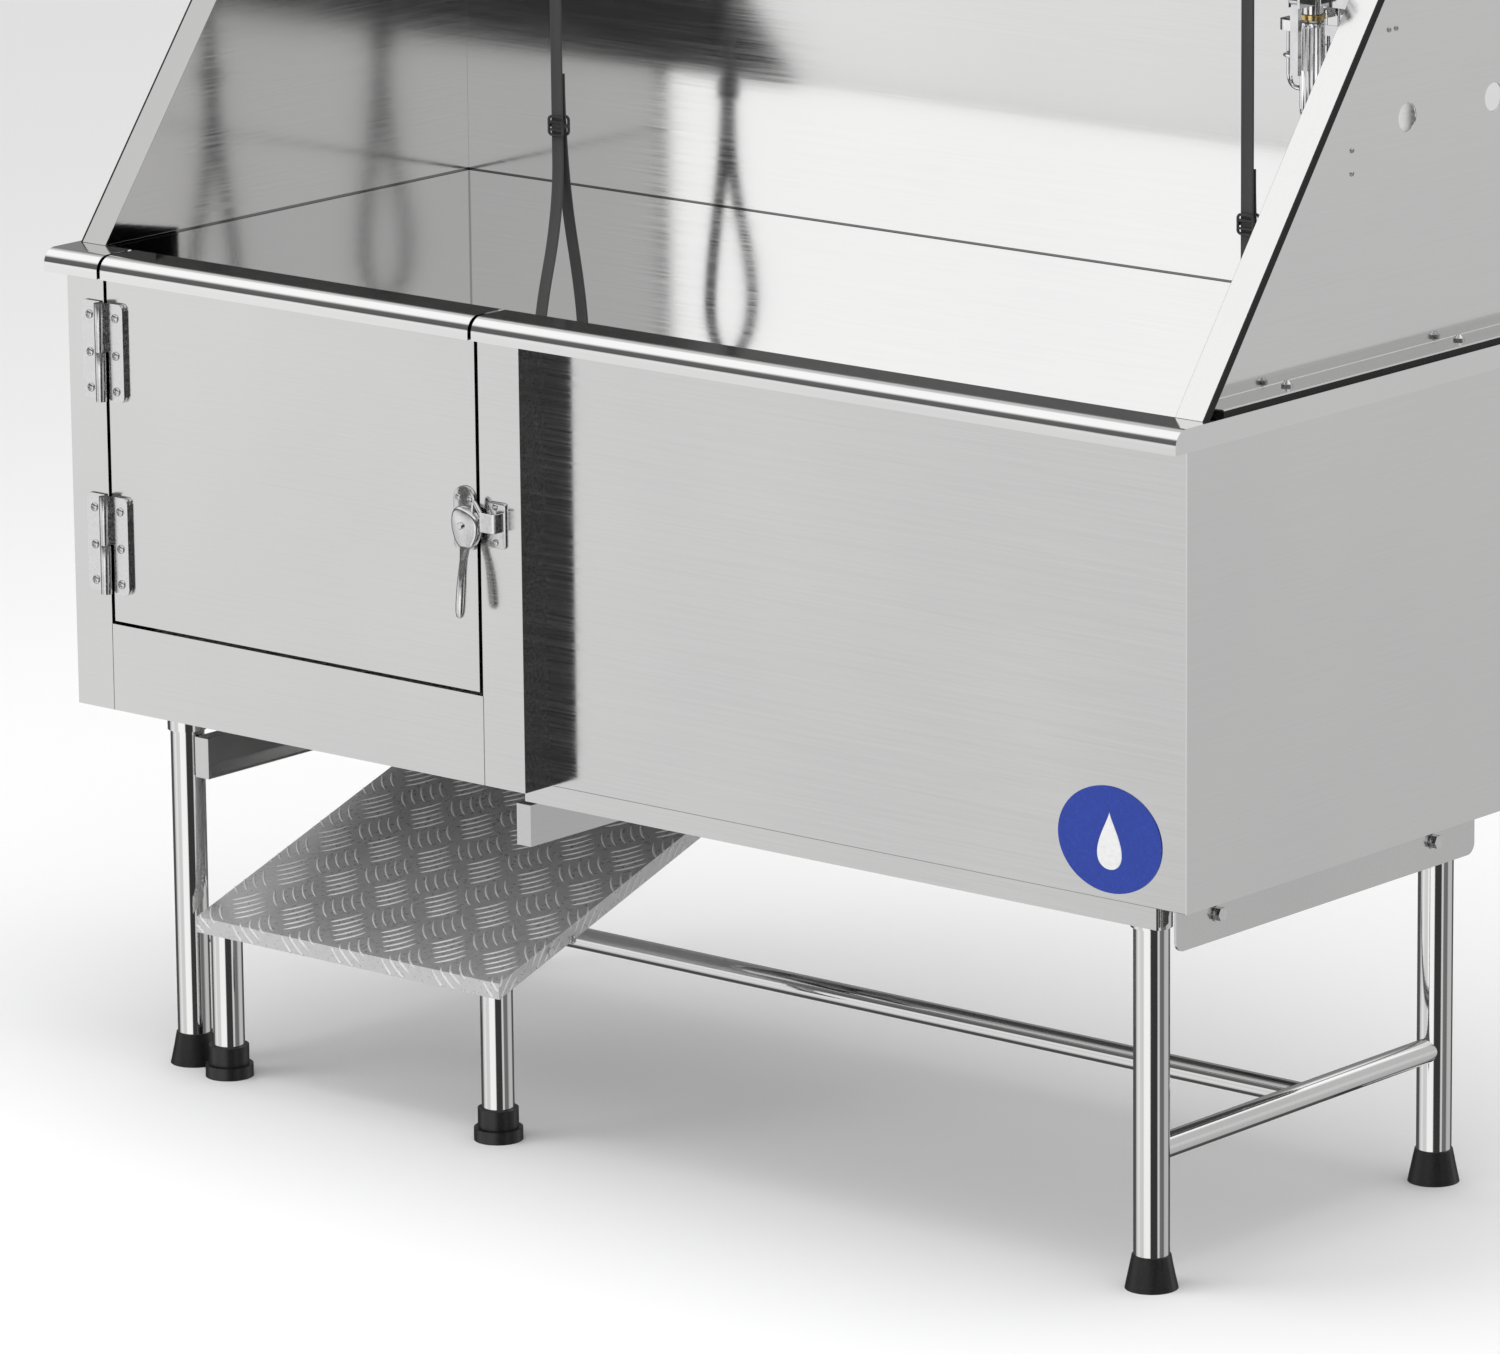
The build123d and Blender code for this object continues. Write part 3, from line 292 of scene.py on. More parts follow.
def joined(parts):
    """Several (verts, faces) as one."""
    verts, faces = [], []
    for part_verts, part_faces in parts:
        start = len(verts)
        verts += part_verts
        faces += [tuple(start + i for i in f) for f in part_faces]
    return verts, faces


def turns(count):
    """The angles of count equal steps round a circle."""
    return [2 * math.pi * i / count for i in range(count)]


def lathe(profile, origin, axis=(0, 0, 1), count=32):
    """A closed profile of (radius, distance along axis) turned round the axis."""
    turn = Vector((0, 0, 1)).rotation_difference(Vector(axis))
    return loft([[Vector(origin) + turn @ Vector((radius * math.cos(a), radius * math.sin(a), along))
                  for a in turns(count)] for radius, along in profile])


def sweep(path, radius, closed=False, count=8):
    """A round wire along a path."""
    path = [Vector(p) for p in path]
    n = len(path)
    rings, normal = [], None
    for k, p in enumerate(path):
        before = path[k - 1] if closed or k else path[0]
        after = path[(k + 1) % n] if closed or k < n - 1 else path[-1]
        tangent = (after - before).normalized()
        if normal is None:
            normal = tangent.orthogonal().normalized()
        normal = (normal - tangent * normal.dot(tangent)).normalized()
        side = tangent.cross(normal)
        rings.append([p + radius * (math.cos(a) * normal + math.sin(a) * side) for a in turns(count)])
    return loft(rings, closed=closed)


def rounded(points, radius, steps=4):
    """A path with its inner corners rounded."""
    points = [Vector(p) for p in points]
    out = [points[0]]
    for a, b, c in zip(points, points[1:], points[2:]):
        start = b + (a - b).normalized() * radius
        end = b + (c - b).normalized() * radius
        for k in range(steps + 1):
            t = k / steps
            out.append(start * (1 - t) ** 2 + b * (2 * t * (1 - t)) + end * t ** 2)
    return out + [points[-1]]


def loft(rings, close_ends=True, closed=False):
    """Rings of equal length joined into a skin, the last to the first when closed."""
    n = len(rings[0])
    verts = [p for ring in rings for p in ring]
    faces = []
    for k in range(len(rings) if closed else len(rings) - 1):
        a, b = k * n, (k + 1) % len(rings) * n
        for i in range(n):
            j = (i + 1) % n
            faces.append((a + i, a + j, b + j, b + i))
    if close_ends and not closed:
        faces.append(tuple(range(n))[::-1])
        faces.append(tuple(range((len(rings) - 1) * n, len(rings) * n)))
    return verts, faces


def front_face(u, v, w):
    """Row point on a surface that looks to the front; w is the distance forward of part.py's y = 0."""
    return Vector((u, SHIFT_Y - w, v))


def side_face(u, v, w):
    """Row point on a surface that looks to the right; u is part.py's depth and w the distance along X."""
    return Vector((w, u + SHIFT_Y, v))


def rounded_box(u0, v0, u1, v1, radii, steps=6):
    """Counterclockwise outline with corner radii from (u0, v0) round to (u0, v1)."""
    out = []
    for cu, cv, start, r in ((u0, v0, 180, radii[0]), (u1, v0, 270, radii[1]), (u1, v1, 0, radii[2]),
                             (u0, v1, 90, radii[3])):
        mu, mv = cu + (r if cu == u0 else -r), cv + (r if cv == v0 else -r)
        for k in range(steps + 1):
            a = math.radians(start + 90 * k / steps)
            out.append((mu + r * math.cos(a), mv + r * math.sin(a)))
    return out


def smoothed(points, rounds=3):
    """A closed outline with its corners cut."""
    for _ in range(rounds):
        out = []
        for (au, av), (bu, bv) in zip(points, points[1:] + points[:1]):
            out.append((0.75 * au + 0.25 * bu, 0.75 * av + 0.25 * bv))
            out.append((0.25 * au + 0.75 * bu, 0.25 * av + 0.75 * bv))
        points = out
    return points


def plate(outline, place, back, front, soft=0.0007):
    """A flat plate with a softened front edge."""
    n = len(outline)
    rings = []
    for w, amount in ((back, 0.0), (front - soft, 0.0), (front - 0.3 * soft, 0.3 * soft), (front, soft)):
        ring = []
        for k, (u, v) in enumerate(outline):
            before, after = outline[k - 1], outline[(k + 1) % n]
            tu, tv = after[0] - before[0], after[1] - before[1]
            size = math.hypot(tu, tv) or 1.0
            ring.append(place(u - tv / size * amount, v + tu / size * amount, w))
        rings.append(ring)
    return loft(rings)


def screw(place, u, v, face, radius, height, turn=0.4):
    """A dome head with a cross recess."""
    count, rows = 48, 12
    rings = [[place(u + radius * math.cos(a), v + radius * math.sin(a), face) for a in turns(count)]]
    for k in range(rows):
        r = radius * (1 - 0.98 * k / (rows - 1))
        ring = []
        for a in turns(count):
            lift = height * (0.25 + 0.75 * math.sqrt(max(0.0, 1 - (r / radius) ** 2)))
            across = min(abs(math.sin(a - turn)), abs(math.cos(a - turn))) * r
            if r < 0.6 * radius and across < 0.14 * radius:
                lift -= 0.5 * height
            ring.append(place(u + r * math.cos(a), v + r * math.sin(a), face + lift))
        rings.append(ring)
    return loft(rings)


# --- Softened sheet edges -------------------------------------------------------------------------
def soften(node, width):
    """A small edge radius that catches the light, as a modifier on the CAD node."""
    obj = NODES[node]
    weld = obj.modifiers.new("weld", "WELD")
    weld.merge_threshold = 0.00002
    bevel = obj.modifiers.new("bevel", "BEVEL")
    bevel.width = width
    bevel.segments = 2
    bevel.limit_method = "ANGLE"
    bevel.angle_limit = math.radians(40)
    bevel.harden_normals = True
    bevel.use_clamp_overlap = True


for node in HINGE_LEAVES:
    soften(node, 0.0007)
for node in ("splash_left", "splash_right", "ramp_plate"):
    soften(node, 0.0006)


# --- Tread plate ----------------------------------------------------------------------------------
RAMP_X0, RAMP_X1, RAMP_FRONT_Y, RAMP_FRONT_Z = -0.636, -0.184, -0.284 + SHIFT_Y, 0.184
RAMP_RISE, RAMP_RUN, SKIRT = 0.3346, 0.520, 0.018
RAMP_COS = 1 / math.sqrt(1 + RAMP_RISE ** 2)
SHEET_W, SHEET_L = RAMP_X1 - RAMP_X0, RAMP_RUN / RAMP_COS


def on_ramp(u, v, lift):
    """A point of the ramp's unfolded sheet, folded down over its front and side skirts and raised by lift."""
    normal = Vector((0, -RAMP_RISE * RAMP_COS, RAMP_COS))
    down = 0.0
    v_in = min(max(v, 0), SHEET_L)
    u_in = min(max(u, 0), SHEET_W)
    base = Vector((RAMP_X0 + u_in, RAMP_FRONT_Y + v_in * RAMP_COS,
                   RAMP_FRONT_Z + v_in * RAMP_COS * RAMP_RISE))
    if u != u_in:
        down, normal = abs(u - u_in), Vector((math.copysign(1, u - u_in), 0, 0))
    elif v < 0:
        down, normal = -v, Vector((0, -1, 0))
    return base + Vector((0, 0, -down)) + normal * lift


def tread_bars():
    """Groups of five lens-shaped bars at right angles; only the second kind runs on over the skirts."""
    verts, faces = [], []
    pitch, gap, half, width, height = 0.075, 0.0110, 0.019, 0.0013, 0.0011
    groups = [(0.045 + pitch * i, 0.04 + pitch * j, 1) for i in range(-1, 7) for j in range(-1, 9)]
    groups += [(0.0075 + pitch * i, 0.0025 + pitch * j, -1) for i in range(-1, 8) for j in range(-1, 9)]
    steps = 12
    for cu, cv, turn in groups:
        du, dv = (math.sqrt(0.5), turn * math.sqrt(0.5))
        for bar in range(-2, 3):
            bu, bv = cu - dv * bar * gap, cv + du * bar * gap
            line = []
            for k in range(steps + 1):
                t = 2 * k / steps - 1
                bow = 0.0022 * (1 - t * t)
                u, v = bu + du * half * t + dv * bow, bv + dv * half * t - du * bow
                if turn > 0 and not (0 < u < SHEET_W and v > 0):
                    continue
                inside_u, inside_v = -SKIRT < u < SHEET_W + SKIRT, -SKIRT + 0.001 < v < SHEET_L
                if inside_u and inside_v and not (v < 0 and not 0 < u < SHEET_W):
                    line.append((u, v, math.sqrt(max(0.0, 1 - t * t))))
            if len(line) < 4:
                continue
            start = len(verts)
            for u, v, s in line:
                w = width * s + 0.0002
                verts.append(on_ramp(u - dv * w, v + du * w, 0.00005))
                verts.append(on_ramp(u - dv * w * 0.4, v + du * w * 0.4, height * s * 0.9))
                verts.append(on_ramp(u + dv * w * 0.4, v - du * w * 0.4, height * s * 0.9))
                verts.append(on_ramp(u + dv * w, v - du * w, 0.00005))
            for k in range(len(line) - 1):
                a = start + 4 * k
                for i in range(3):
                    faces.append((a + i, a + i + 1, a + i + 5, a + i + 4))
                faces.append((a + 3, a, a + 4, a + 7))
            faces.append((start, start + 3, start + 2, start + 1))
            last = start + 4 * (len(line) - 1)
            faces.append((last, last + 1, last + 2, last + 3))
    return verts, faces


SKIRT_BOLT_Y, SKIRT_BOLT_Z = -0.1629, 0.2079
verts, faces = screw(side_face, SKIRT_BOLT_Y, SKIRT_BOLT_Z, RAMP_X1, 0.0050, 0.0025)
piece("ramp_skirt_bolt", verts, faces, "cast", "ramp", angle=50)
verts, faces = tread_bars()
piece("ramp_tread_bars", verts, faces, "tread_bar", "ramp", angle=60)


# --- Restraint straps -----------------------------------------------------------------------------
# The route's points are part.py's, with one more at 1.05 m that keeps the hanging run straight.
STRAP_ROUTE = [(0.160, 1.3998), (0.160, 1.050), (0.160, 0.935), (0.121, 0.805), (0.128, 0.742),
               (0.162, 0.714), (0.194, 0.742), (0.201, 0.805), (0.164, 0.985), (0.164, 1.090)]
STRAP_HALF, STRAP_THICK = 0.008, 0.0022


def nurbs_line(points):
    curve = bpy.data.curves.new("route", "CURVE")
    curve.dimensions = "3D"
    spline = curve.splines.new("NURBS")
    spline.points.add(len(points) - 1)
    for slot_, p in zip(spline.points, points):
        slot_.co = (*p, 1)
    spline.order_u = 3
    spline.use_endpoint_u = True
    curve.resolution_u = 16
    obj = bpy.data.objects.new("route", curve)
    bpy.context.scene.collection.objects.link(obj)
    bpy.context.view_layer.update()
    mesh = bpy.data.meshes.new_from_object(obj)
    line = [v.co.copy() for v in mesh.vertices]
    bpy.data.objects.remove(obj)
    bpy.data.meshes.remove(mesh)
    return line


def ribbon(line, half, thick):
    """A flat band that follows a line in a plane of constant x, with slightly thicker woven edges."""
    section = [(-1, 0.35), (-0.92, 0.5), (-0.78, 0.42), (0.78, 0.42), (0.92, 0.5), (1, 0.35),
               (1, -0.35), (0.92, -0.5), (0.78, -0.42), (-0.78, -0.42), (-0.92, -0.5), (-1, -0.35)]
    rings, uvs, run = [], [], 0.0
    for k, p in enumerate(line):
        tangent = (line[min(k + 1, len(line) - 1)] - line[max(k - 1, 0)]).normalized()
        normal = tangent.cross(Vector((1, 0, 0))).normalized()
        if k:
            run += (p - line[k - 1]).length
        rings.append([p + Vector((s * half, 0, 0)) + normal * (t * thick) for s, t in section])
        uvs += [(s * half, run) for s, t in section]
    return (*loft(rings), uvs, run)


SLIDER_Y, SLIDER_Z = 0.16225, 1.031


def tri_glide(x):
    """A three-bar slide buckle round the doubled webbing."""
    half, bar, corner = 0.0118, 0.0016, 0.004
    x0, x1 = x - half + bar, x + half - bar
    front = SLIDER_Y - 0.0055 + SHIFT_Y
    parts = []
    for y in (SLIDER_Y - 0.0051, SLIDER_Y + 0.0051):
        outline = rounded_box(x0, SLIDER_Z - half + bar, x1, SLIDER_Z + half - bar, (corner,) * 4)
        parts.append(sweep([(u, y + SHIFT_Y, v) for u, v in outline], bar, closed=True, count=12))
    for z in (SLIDER_Z - 0.0045, SLIDER_Z + 0.0045):
        parts.append(sweep([(x0, front, z), (x1, front, z)], 0.0014, count=12))
    for sign in (-1, 1):
        side_x = x + sign * (half - bar)
        parts.append(sweep([(side_x, SLIDER_Y - 0.0045 + SHIFT_Y, SLIDER_Z),
                            (side_x, SLIDER_Y + 0.0045 + SHIFT_Y, SLIDER_Z)], 0.0022, count=12))
    return joined(parts)


for side, x in (("left", -0.476), ("right", 0.492)):
    line = nurbs_line([(x, y + SHIFT_Y, z) for y, z in STRAP_ROUTE])
    verts, faces, uvs, length = ribbon(line, STRAP_HALF, STRAP_THICK)
    buckle_verts, buckle_faces = tri_glide(x)
    buckle = piece(f"slide_buckle_{side}", buckle_verts, buckle_faces, "plastic", f"adjuster_{side}",
                   [f"strap_slider_{side}"])
    strap = piece(f"webbing_{side}", verts, faces, "webbing", f"loop_{side}",
                  [f"strap_{side}"], angle=50, uvs=uvs)


# --- Screws ---------------------------------------------------------------------------------------
# Faces of the front sheets, of the plates on them and of the door leaves, forward of part.py's y = 0.
SHEET_FACE, PLATE_FACE, LEAF_FACE = 0.333, 0.336, 0.338
BRACKET_FACE_X = 0.747
LATCH_SCREWS = ((-0.184, 0.733, 0.2), (-0.167, 0.733, 1.0), (-0.184, 0.686, 0.7), (-0.167, 0.682, 0.1))
BRACKET_SCREWS = ((0.063, 1.277), (0.075, 1.277), (0.001, 1.161), (0.001, 1.137))
HINGE_X, LEAF_ZS = -0.7045, [z0 + dz for z0 in (0.771, 0.554) for dz in (0.012, 0.052, 0.094)]
heads = [screw(front_face, HINGE_X + 0.019, z, LEAF_FACE, 0.005, 0.0026, 0.3 * k)
         for k, z in enumerate(LEAF_ZS)]
heads += [screw(front_face, x, z, PLATE_FACE, 0.0036, 0.0018, turn) for x, z, turn in LATCH_SCREWS]
verts, faces = joined(heads)
piece("door_screw_heads", verts, faces, "cast", "door", ["door_screws"], angle=50)

heads = [screw(front_face, HINGE_X - 0.022, z, PLATE_FACE, 0.005, 0.0026, 0.9 * k)
         for k, z in enumerate(LEAF_ZS)]
heads += [screw(front_face, -0.131, z, PLATE_FACE, 0.0038, 0.0018, z * 9) for z in (0.729, 0.690)]
heads += [screw(side_face, y, z, BRACKET_FACE_X, 0.003, 0.0018, z * 5) for y, z in BRACKET_SCREWS]
verts, faces = joined(heads)
piece("frame_screw_heads", verts, faces, "cast", "tub", ["frame_screws"], angle=50)


# --- Latch ----------------------------------------------------------------------------------------
PIVOT_X, PIVOT_Z = -0.168, 0.706
base_outline = rounded_box(-0.191, 0.677, -0.1605, 0.746, (0.005, 0.005, 0.0152, 0.0152), 10)
post_profile = [(0.0105, 0.0), (0.0105, 0.0042), (0.0098, 0.0046), (0.0041, 0.0047), (0.0039, 0.0155),
                (0.0030, 0.0165)]
verts, faces = joined([plate(base_outline, front_face, SHEET_FACE, PLATE_FACE, 0.001),
                       lathe(post_profile, front_face(PIVOT_X, PIVOT_Z, PLATE_FACE), (0, -1, 0), 40)])
piece("latch_plate", verts, faces, "cast", "door", ["latch_base"])


def oval(centre, across, along, tilt, count=28):
    """A ring round the handle: across is its half width along X, along its half depth."""
    x, y, z = centre
    c, s = math.cos(tilt), math.sin(tilt)
    return [Vector((x + across * math.cos(a), y - along * math.sin(a) * c + SHIFT_Y,
                    z - along * math.sin(a) * s)) for a in turns(count)]


boss_outline = smoothed([(-0.1835, 0.7185), (-0.1840, 0.7000), (-0.1745, 0.6800), (-0.1570, 0.6805),
                         (-0.1480, 0.6925), (-0.1450, 0.7050), (-0.1490, 0.7190), (-0.1625, 0.7250),
                         (-0.1760, 0.7265)])
handle = [oval(centre, across, along, tilt) for centre, across, along, tilt in (
    ((-0.1655, -0.3445, 0.6930), 0.0066, 0.0026, 0.2), ((-0.1650, -0.3465, 0.6850), 0.0074, 0.0036, 0.5),
    ((-0.1640, -0.3490, 0.6780), 0.0060, 0.0044, 0.45), ((-0.1630, -0.3515, 0.6700), 0.0046, 0.0046, 0.3),
    ((-0.1622, -0.3540, 0.6610), 0.0047, 0.0049, 0.25), ((-0.1618, -0.3560, 0.6500), 0.0053, 0.0052, 0.15),
    ((-0.1616, -0.3578, 0.6360), 0.0058, 0.0054, 0.12), ((-0.1616, -0.3590, 0.6240), 0.0059, 0.0054, 0.1),
    ((-0.1616, -0.3598, 0.6150), 0.0056, 0.0050, 0.1), ((-0.1616, -0.3602, 0.6100), 0.0043, 0.0038, 0.1),
    ((-0.1616, -0.3603, 0.6083), 0.0018, 0.0016, 0.1))]
arm = rounded([front_face(-0.1560, 0.7200, 0.3440), front_face(-0.1545, 0.7345, 0.3440),
               front_face(-0.1400, 0.7150, 0.3440), front_face(-0.1300, 0.7120, 0.3430)], 0.004, 6)
catch = plate(rounded_box(-0.1500, 0.7075, -0.1285, 0.7165, (0.001, 0.002, 0.002, 0.001)),
              front_face, 0.341, 0.345, 0.0008)
verts, faces = joined([plate(boss_outline, front_face, 0.3413, 0.3495, 0.0034), loft(handle), catch,
                       sweep(arm, 0.0024, count=14)])
piece("latch_handle", verts, faces, "cast", "lever", ["latch_lever"], angle=60)

HOOK_HALF = 0.0014
HOOK_SECTION = ((-1, 0.7035), (-1, 0.7235), (-0.6, 0.7240), (0.6, 0.7240), (1, 0.7235), (1, 0.7035),
                (0.6, 0.7030), (-0.6, 0.7030))
hook = []
hook_path = [(-0.1212, 0.3345), (-0.1212, 0.3465), (-0.1220, 0.3485), (-0.1240, 0.3494), (-0.1400, 0.3494)]
for k, (x, w) in enumerate(hook_path):
    before, after = hook_path[max(k - 1, 0)], hook_path[min(k + 1, len(hook_path) - 1)]
    tx, tw = after[0] - before[0], after[1] - before[1]
    size = math.hypot(tx, tw)
    nx, nw = -tw / size * HOOK_HALF, tx / size * HOOK_HALF
    hook.append([front_face(x + across * nx, z, w + across * nw) for across, z in HOOK_SECTION])
keeper = plate(rounded_box(-0.143, 0.684, -0.117, 0.734, (0.004,) * 4), front_face, SHEET_FACE, PLATE_FACE,
               0.001)
verts, faces = joined([keeper, loft(hook)])
piece("latch_catch", verts, faces, "cast", "tub", ["latch_keeper"])


# --- Wire basket ----------------------------------------------------------------------------------
def wire_basket():
    x0, x1, y0, y1 = 0.610, 0.743, 0.052 + SHIFT_Y, 0.262 + SHIFT_Y
    z0, z1, band, wire = 1.2015, 1.276, 0.011, 0.0015
    parts = []
    corner = 0.012
    outline = []
    for cx, cy, a0 in ((x1 - corner, y1 - corner, 0), (x0 + corner, y1 - corner, 90),
                       (x0 + corner, y0 + corner, 180), (x1 - corner, y0 + corner, 270)):
        for k in range(7):
            a = math.radians(a0 + 15 * k)
            outline.append((cx + corner * math.cos(a), cy + corner * math.sin(a)))
    centre = ((x0 + x1) / 2, (y0 + y1) / 2)

    def ring(z, inset):
        return [Vector((x + (centre[0] - x) * inset / (x1 - centre[0]),
                        y + (centre[1] - y) * inset / (y1 - centre[1]), z)) for x, y in outline]
    skin = [ring(z1 - band, 0.0), ring(z1, 0.0), ring(z1, 0.0014), ring(z1 - band, 0.0014)]
    skin.append(skin[0])
    parts.append(loft(skin, close_ends=False))
    inset = wire + 0.0016

    def hoop(points):
        return sweep(rounded(points, 0.016, 5), wire)
    count = 9
    for i in range(count):
        y = y0 + 0.018 + (y1 - y0 - 0.036) * i / (count - 1)
        parts.append(hoop([(x0 + inset, y, z1 - 0.002), (x0 + inset, y, z0), (x1 - inset, y, z0),
                           (x1 - inset, y, z1 - 0.002)]))
    for i in range(5):
        x = x0 + 0.018 + (x1 - x0 - 0.036) * i / 4
        parts.append(hoop([(x, y0 + inset, z1 - 0.002), (x, y0 + inset, z0 + 2 * wire),
                           (x, y1 - inset, z0 + 2 * wire), (x, y1 - inset, z1 - 0.002)]))
    parts.append(sweep([p + Vector((0, 0, -0.038)) for p in ring(z1, 2.2 * wire)], wire, closed=True))
    return joined(parts)


verts, faces = wire_basket()
piece("soap_basket", verts, faces, "chrome", BODY_OF["wire_basket"], ["wire_basket"])


# --- Sprayer --------------------------------------------------------------------------------------
SPRAY = Vector((0.690, 0.009 + SHIFT_Y, 0))
GRIP_Z0 = 1.190


def fluted_grip():
    """A grip with lengthwise flutes between two plain ends."""
    count, flutes = 144, 18
    rings = []
    for z, deep, radius in ((0, 0, 0.0112), (0.002, 0, 0.0126), (0.006, 0, 0.0128), (0.009, 1, 0.0129),
                            (0.05, 1, 0.013), (0.091, 1, 0.0129), (0.094, 0, 0.0128), (0.098, 0, 0.0126),
                            (0.1, 0, 0.0112)):
        ring = []
        for a in turns(count):
            r = radius - deep * 0.0016 * (0.5 + 0.5 * math.cos(flutes * a)) ** 0.7
            ring.append(SPRAY + Vector((r * math.cos(a), r * math.sin(a), GRIP_Z0 + z)))
        rings.append(ring)
    return loft(rings)


verts, faces = fluted_grip()
piece("fluted_grip", verts, faces, "chrome", "sprayer", ["sprayer_grip"], angle=50)


# --- Badge ----------------------------------------------------------------------------------------
def droplet():
    """A plain water drop, raised on the badge's disc."""
    x, z, y = 0.6634, 0.4783, -0.291 + SHIFT_Y - 0.001
    outline = []
    for k in range(49):
        t = math.pi * k / 48
        spread = 0.023 * math.sin(t) * math.sin(t / 2) ** 1.6
        outline.append((spread, 0.034 - 0.0605 * (1 - math.cos(t)) / 2))
    outline += [(-s, h) for s, h in reversed(outline[1:-1])]
    rings = [[Vector((x + s * k, y - lift, z + h * k)) for s, h in outline]
             for k, lift in ((1.0, 0.0), (0.99, 0.0005), (0.95, 0.0007), (0.6, 0.0008))]
    return loft(rings)


verts, faces = droplet()
piece("badge_droplet", verts, faces, "white", BODY_OF["badge"])


# --- Studio ---------------------------------------------------------------------------------------
def studio_plane(name, corners, colour, glow=0.0, hidden=True):
    mesh = bpy.data.meshes.new(name)
    mesh.from_pydata([tuple(c) for c in corners], [], [tuple(range(len(corners)))])
    obj = bpy.data.objects.new(name, mesh)
    bpy.context.scene.collection.objects.link(obj)
    mat, tree, shader = new_material(name, colour, 0.0, 0.9)
    if glow:
        shader.inputs["Emission Color"].default_value = (1, 1, 1, 1)
        shader.inputs["Emission Strength"].default_value = glow
    mesh.materials.append(mat)
    if hidden:
        obj.visible_camera = False
        obj.visible_diffuse = False
        obj.visible_shadow = False
        obj.visible_transmission = False
    return obj


floor = studio_plane("floor", [(-30, -30, 0), (30, -30, 0), (30, 30, 0), (-30, 30, 0)], (0.9, 0.9, 0.9),
                     hidden=False)
floor.visible_glossy = False

# A card that glows towards the back wall and is clear from the front.
inner_card = studio_plane("card_inside", [(-0.735, -0.02, 0.52), (-0.735, -0.02, 1.0), (0.735, -0.02, 1.0),
                                           (0.735, -0.02, 0.52)], (0, 0, 0), 1.15)
tree = inner_card.data.materials[0].node_tree
side_seen = add(tree, "ShaderNodeNewGeometry")
clear = add(tree, "ShaderNodeBsdfTransparent")
either = add(tree, "ShaderNodeMixShader")
tree.links.new(side_seen.outputs["Backfacing"], either.inputs[0])
tree.links.new(tree.nodes["Principled BSDF"].outputs[0], either.inputs[1])
tree.links.new(clear.outputs[0], either.inputs[2])
tree.links.new(either.outputs[0], tree.nodes["Material Output"].inputs["Surface"])

studio_plane("card_dark_corner", [(-0.700, -0.245, 0.84), (-0.700, -0.116, 0.84), (-0.700, -0.116, 0.923),
                                  (-0.700, -0.245, 0.948)], (0, 0, 0))


def area_light(name, place, target, size, power):
    light = bpy.data.lights.new(name, "AREA")
    light.shape = "RECTANGLE"
    light.size, light.size_y = size
    light.energy = power
    obj = bpy.data.objects.new(name, light)
    bpy.context.scene.collection.objects.link(obj)
    obj.location = place
    obj.rotation_mode = "QUATERNION"
    obj.rotation_quaternion = (Vector(target) - Vector(place)).to_track_quat("-Z", "Y")
    obj.visible_glossy = False
    return obj


area_light("overhead", (0.3, -0.4, 4.2), (0, 0, 0.4), (3.2, 2.4), 90)
area_light("front_left", (-2.8, -3.6, 2.6), (0, 0, 0.7), (2.4, 2.0), 40)

world = bpy.data.worlds.new("studio")
bpy.context.scene.world = world
world.use_nodes = True
tree = world.node_tree
background = tree.nodes["Background"]


def math_node(kind, *values):
    node = add(tree, "ShaderNodeMath", operation=kind)
    for socket, value in zip(node.inputs, values):
        if isinstance(value, (int, float)):
            socket.default_value = value
        else:
            tree.links.new(value, socket)
    return node.outputs[0]


def curve_of(value, low, high, stops):
    """A grey level from value by straight lines between stops of (value, level)."""
    node = add(tree, "ShaderNodeValToRGB")
    ramp = node.color_ramp
    while len(ramp.elements) > 1:
        ramp.elements.remove(ramp.elements[-1])
    for k, (at, level) in enumerate(stops):
        element = ramp.elements[0] if k == 0 else ramp.elements.new((at - low) / (high - low))
        element.position = (at - low) / (high - low)
        element.color = (level / 2, level / 2, level / 2, 1)
    tree.links.new(math_node("DIVIDE", math_node("SUBTRACT", value, low), high - low), node.inputs[0])
    return math_node("MULTIPLY", node.outputs[0], 2.0)


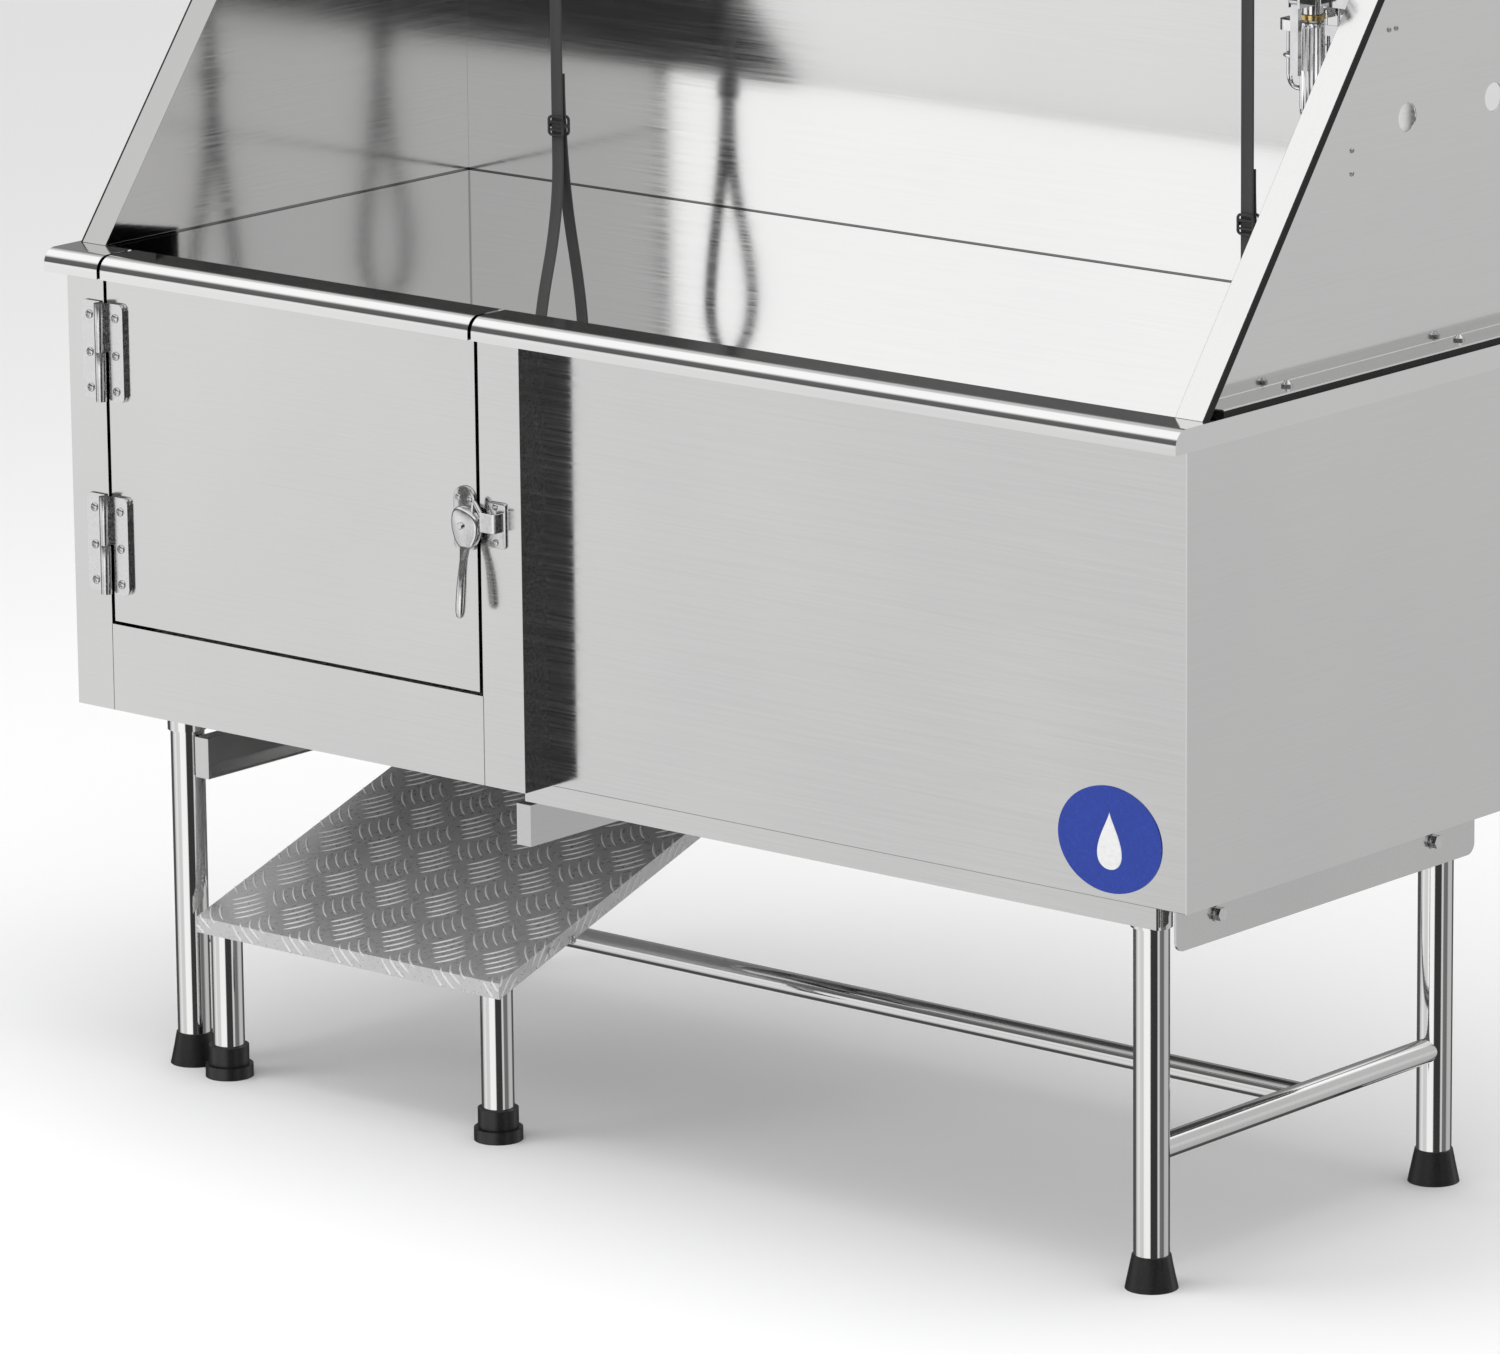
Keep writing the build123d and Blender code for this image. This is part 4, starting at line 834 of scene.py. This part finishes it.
# Mirrors see a grey that depends on direction; the camera and diffuse light see even greys.
place = add(tree, "ShaderNodeTexCoord")
split = add(tree, "ShaderNodeSeparateXYZ")
tree.links.new(place.outputs["Generated"], split.inputs[0])
azimuth = math_node("MULTIPLY", math_node("ARCTAN2", split.outputs["Y"], split.outputs["X"]), 180 / math.pi)
elevation = math_node("MULTIPLY", math_node("ARCSINE", split.outputs["Z"]), 180 / math.pi)
low_ring = curve_of(azimuth, -180, 180, [
    (-180, 0.10), (-168, 0.12), (-162, 0.60), (-150, 0.90), (-137, 1.08), (-128, 0.88), (-122, 0.84),
    (-104, 0.85), (-99, 1.25), (-62, 1.25), (-57, 0.05), (-16, 0.05), (-12, 0.80), (-3, 0.85), (1, 0.22),
    (29, 0.18), (35, 0.60), (52, 0.68), (75, 0.60), (82, 0.10), (180, 0.10)])
low_fade = curve_of(elevation, -90, 90, [(-90, 0.8), (-20, 0.86), (-8, 1.06), (0, 1.08)])
high_ring = curve_of(azimuth, -180, 180, [(-180, 1.25), (100, 1.25), (112, 0.70), (155, 0.70), (166, 1.25)])
high_fade = curve_of(elevation, -90, 90, [(3, 0.10), (27, 0.13), (32, 0.6), (37, 1.0), (54, 1.0), (58, 0.5),
                                          (70, 0.5), (74, 1.0), (90, 1.0)])
side_lift = curve_of(azimuth, -180, 180, [(-180, 0.0), (15, 0.0), (30, 0.62), (70, 0.62), (100, 0.26),
                                          (160, 0.26), (172, 0.0), (180, 0.0)])
is_high = curve_of(elevation, -90, 90, [(0, 0.0), (4, 1.0)])
low_part = math_node("MULTIPLY", math_node("MULTIPLY", low_ring, low_fade),
                     math_node("SUBTRACT", 1.0, is_high))
high_base = math_node("MAXIMUM", math_node("MULTIPLY", high_ring, high_fade), side_lift)
high_part = math_node("MULTIPLY", high_base, is_high)
mirrored = math_node("ADD", low_part, high_part)
path = add(tree, "ShaderNodeLightPath")
AMBIENT, BACKDROP = 0.8, 0.93
strength = math_node("ADD", math_node("MULTIPLY", mirrored, path.outputs["Is Glossy Ray"]),
                     math_node("ADD", math_node("MULTIPLY", path.outputs["Is Camera Ray"], BACKDROP),
                               math_node("MULTIPLY", path.outputs["Is Diffuse Ray"], AMBIENT)))
tree.links.new(strength, background.inputs["Strength"])
background.inputs["Color"].default_value = (1, 1, 1, 1)
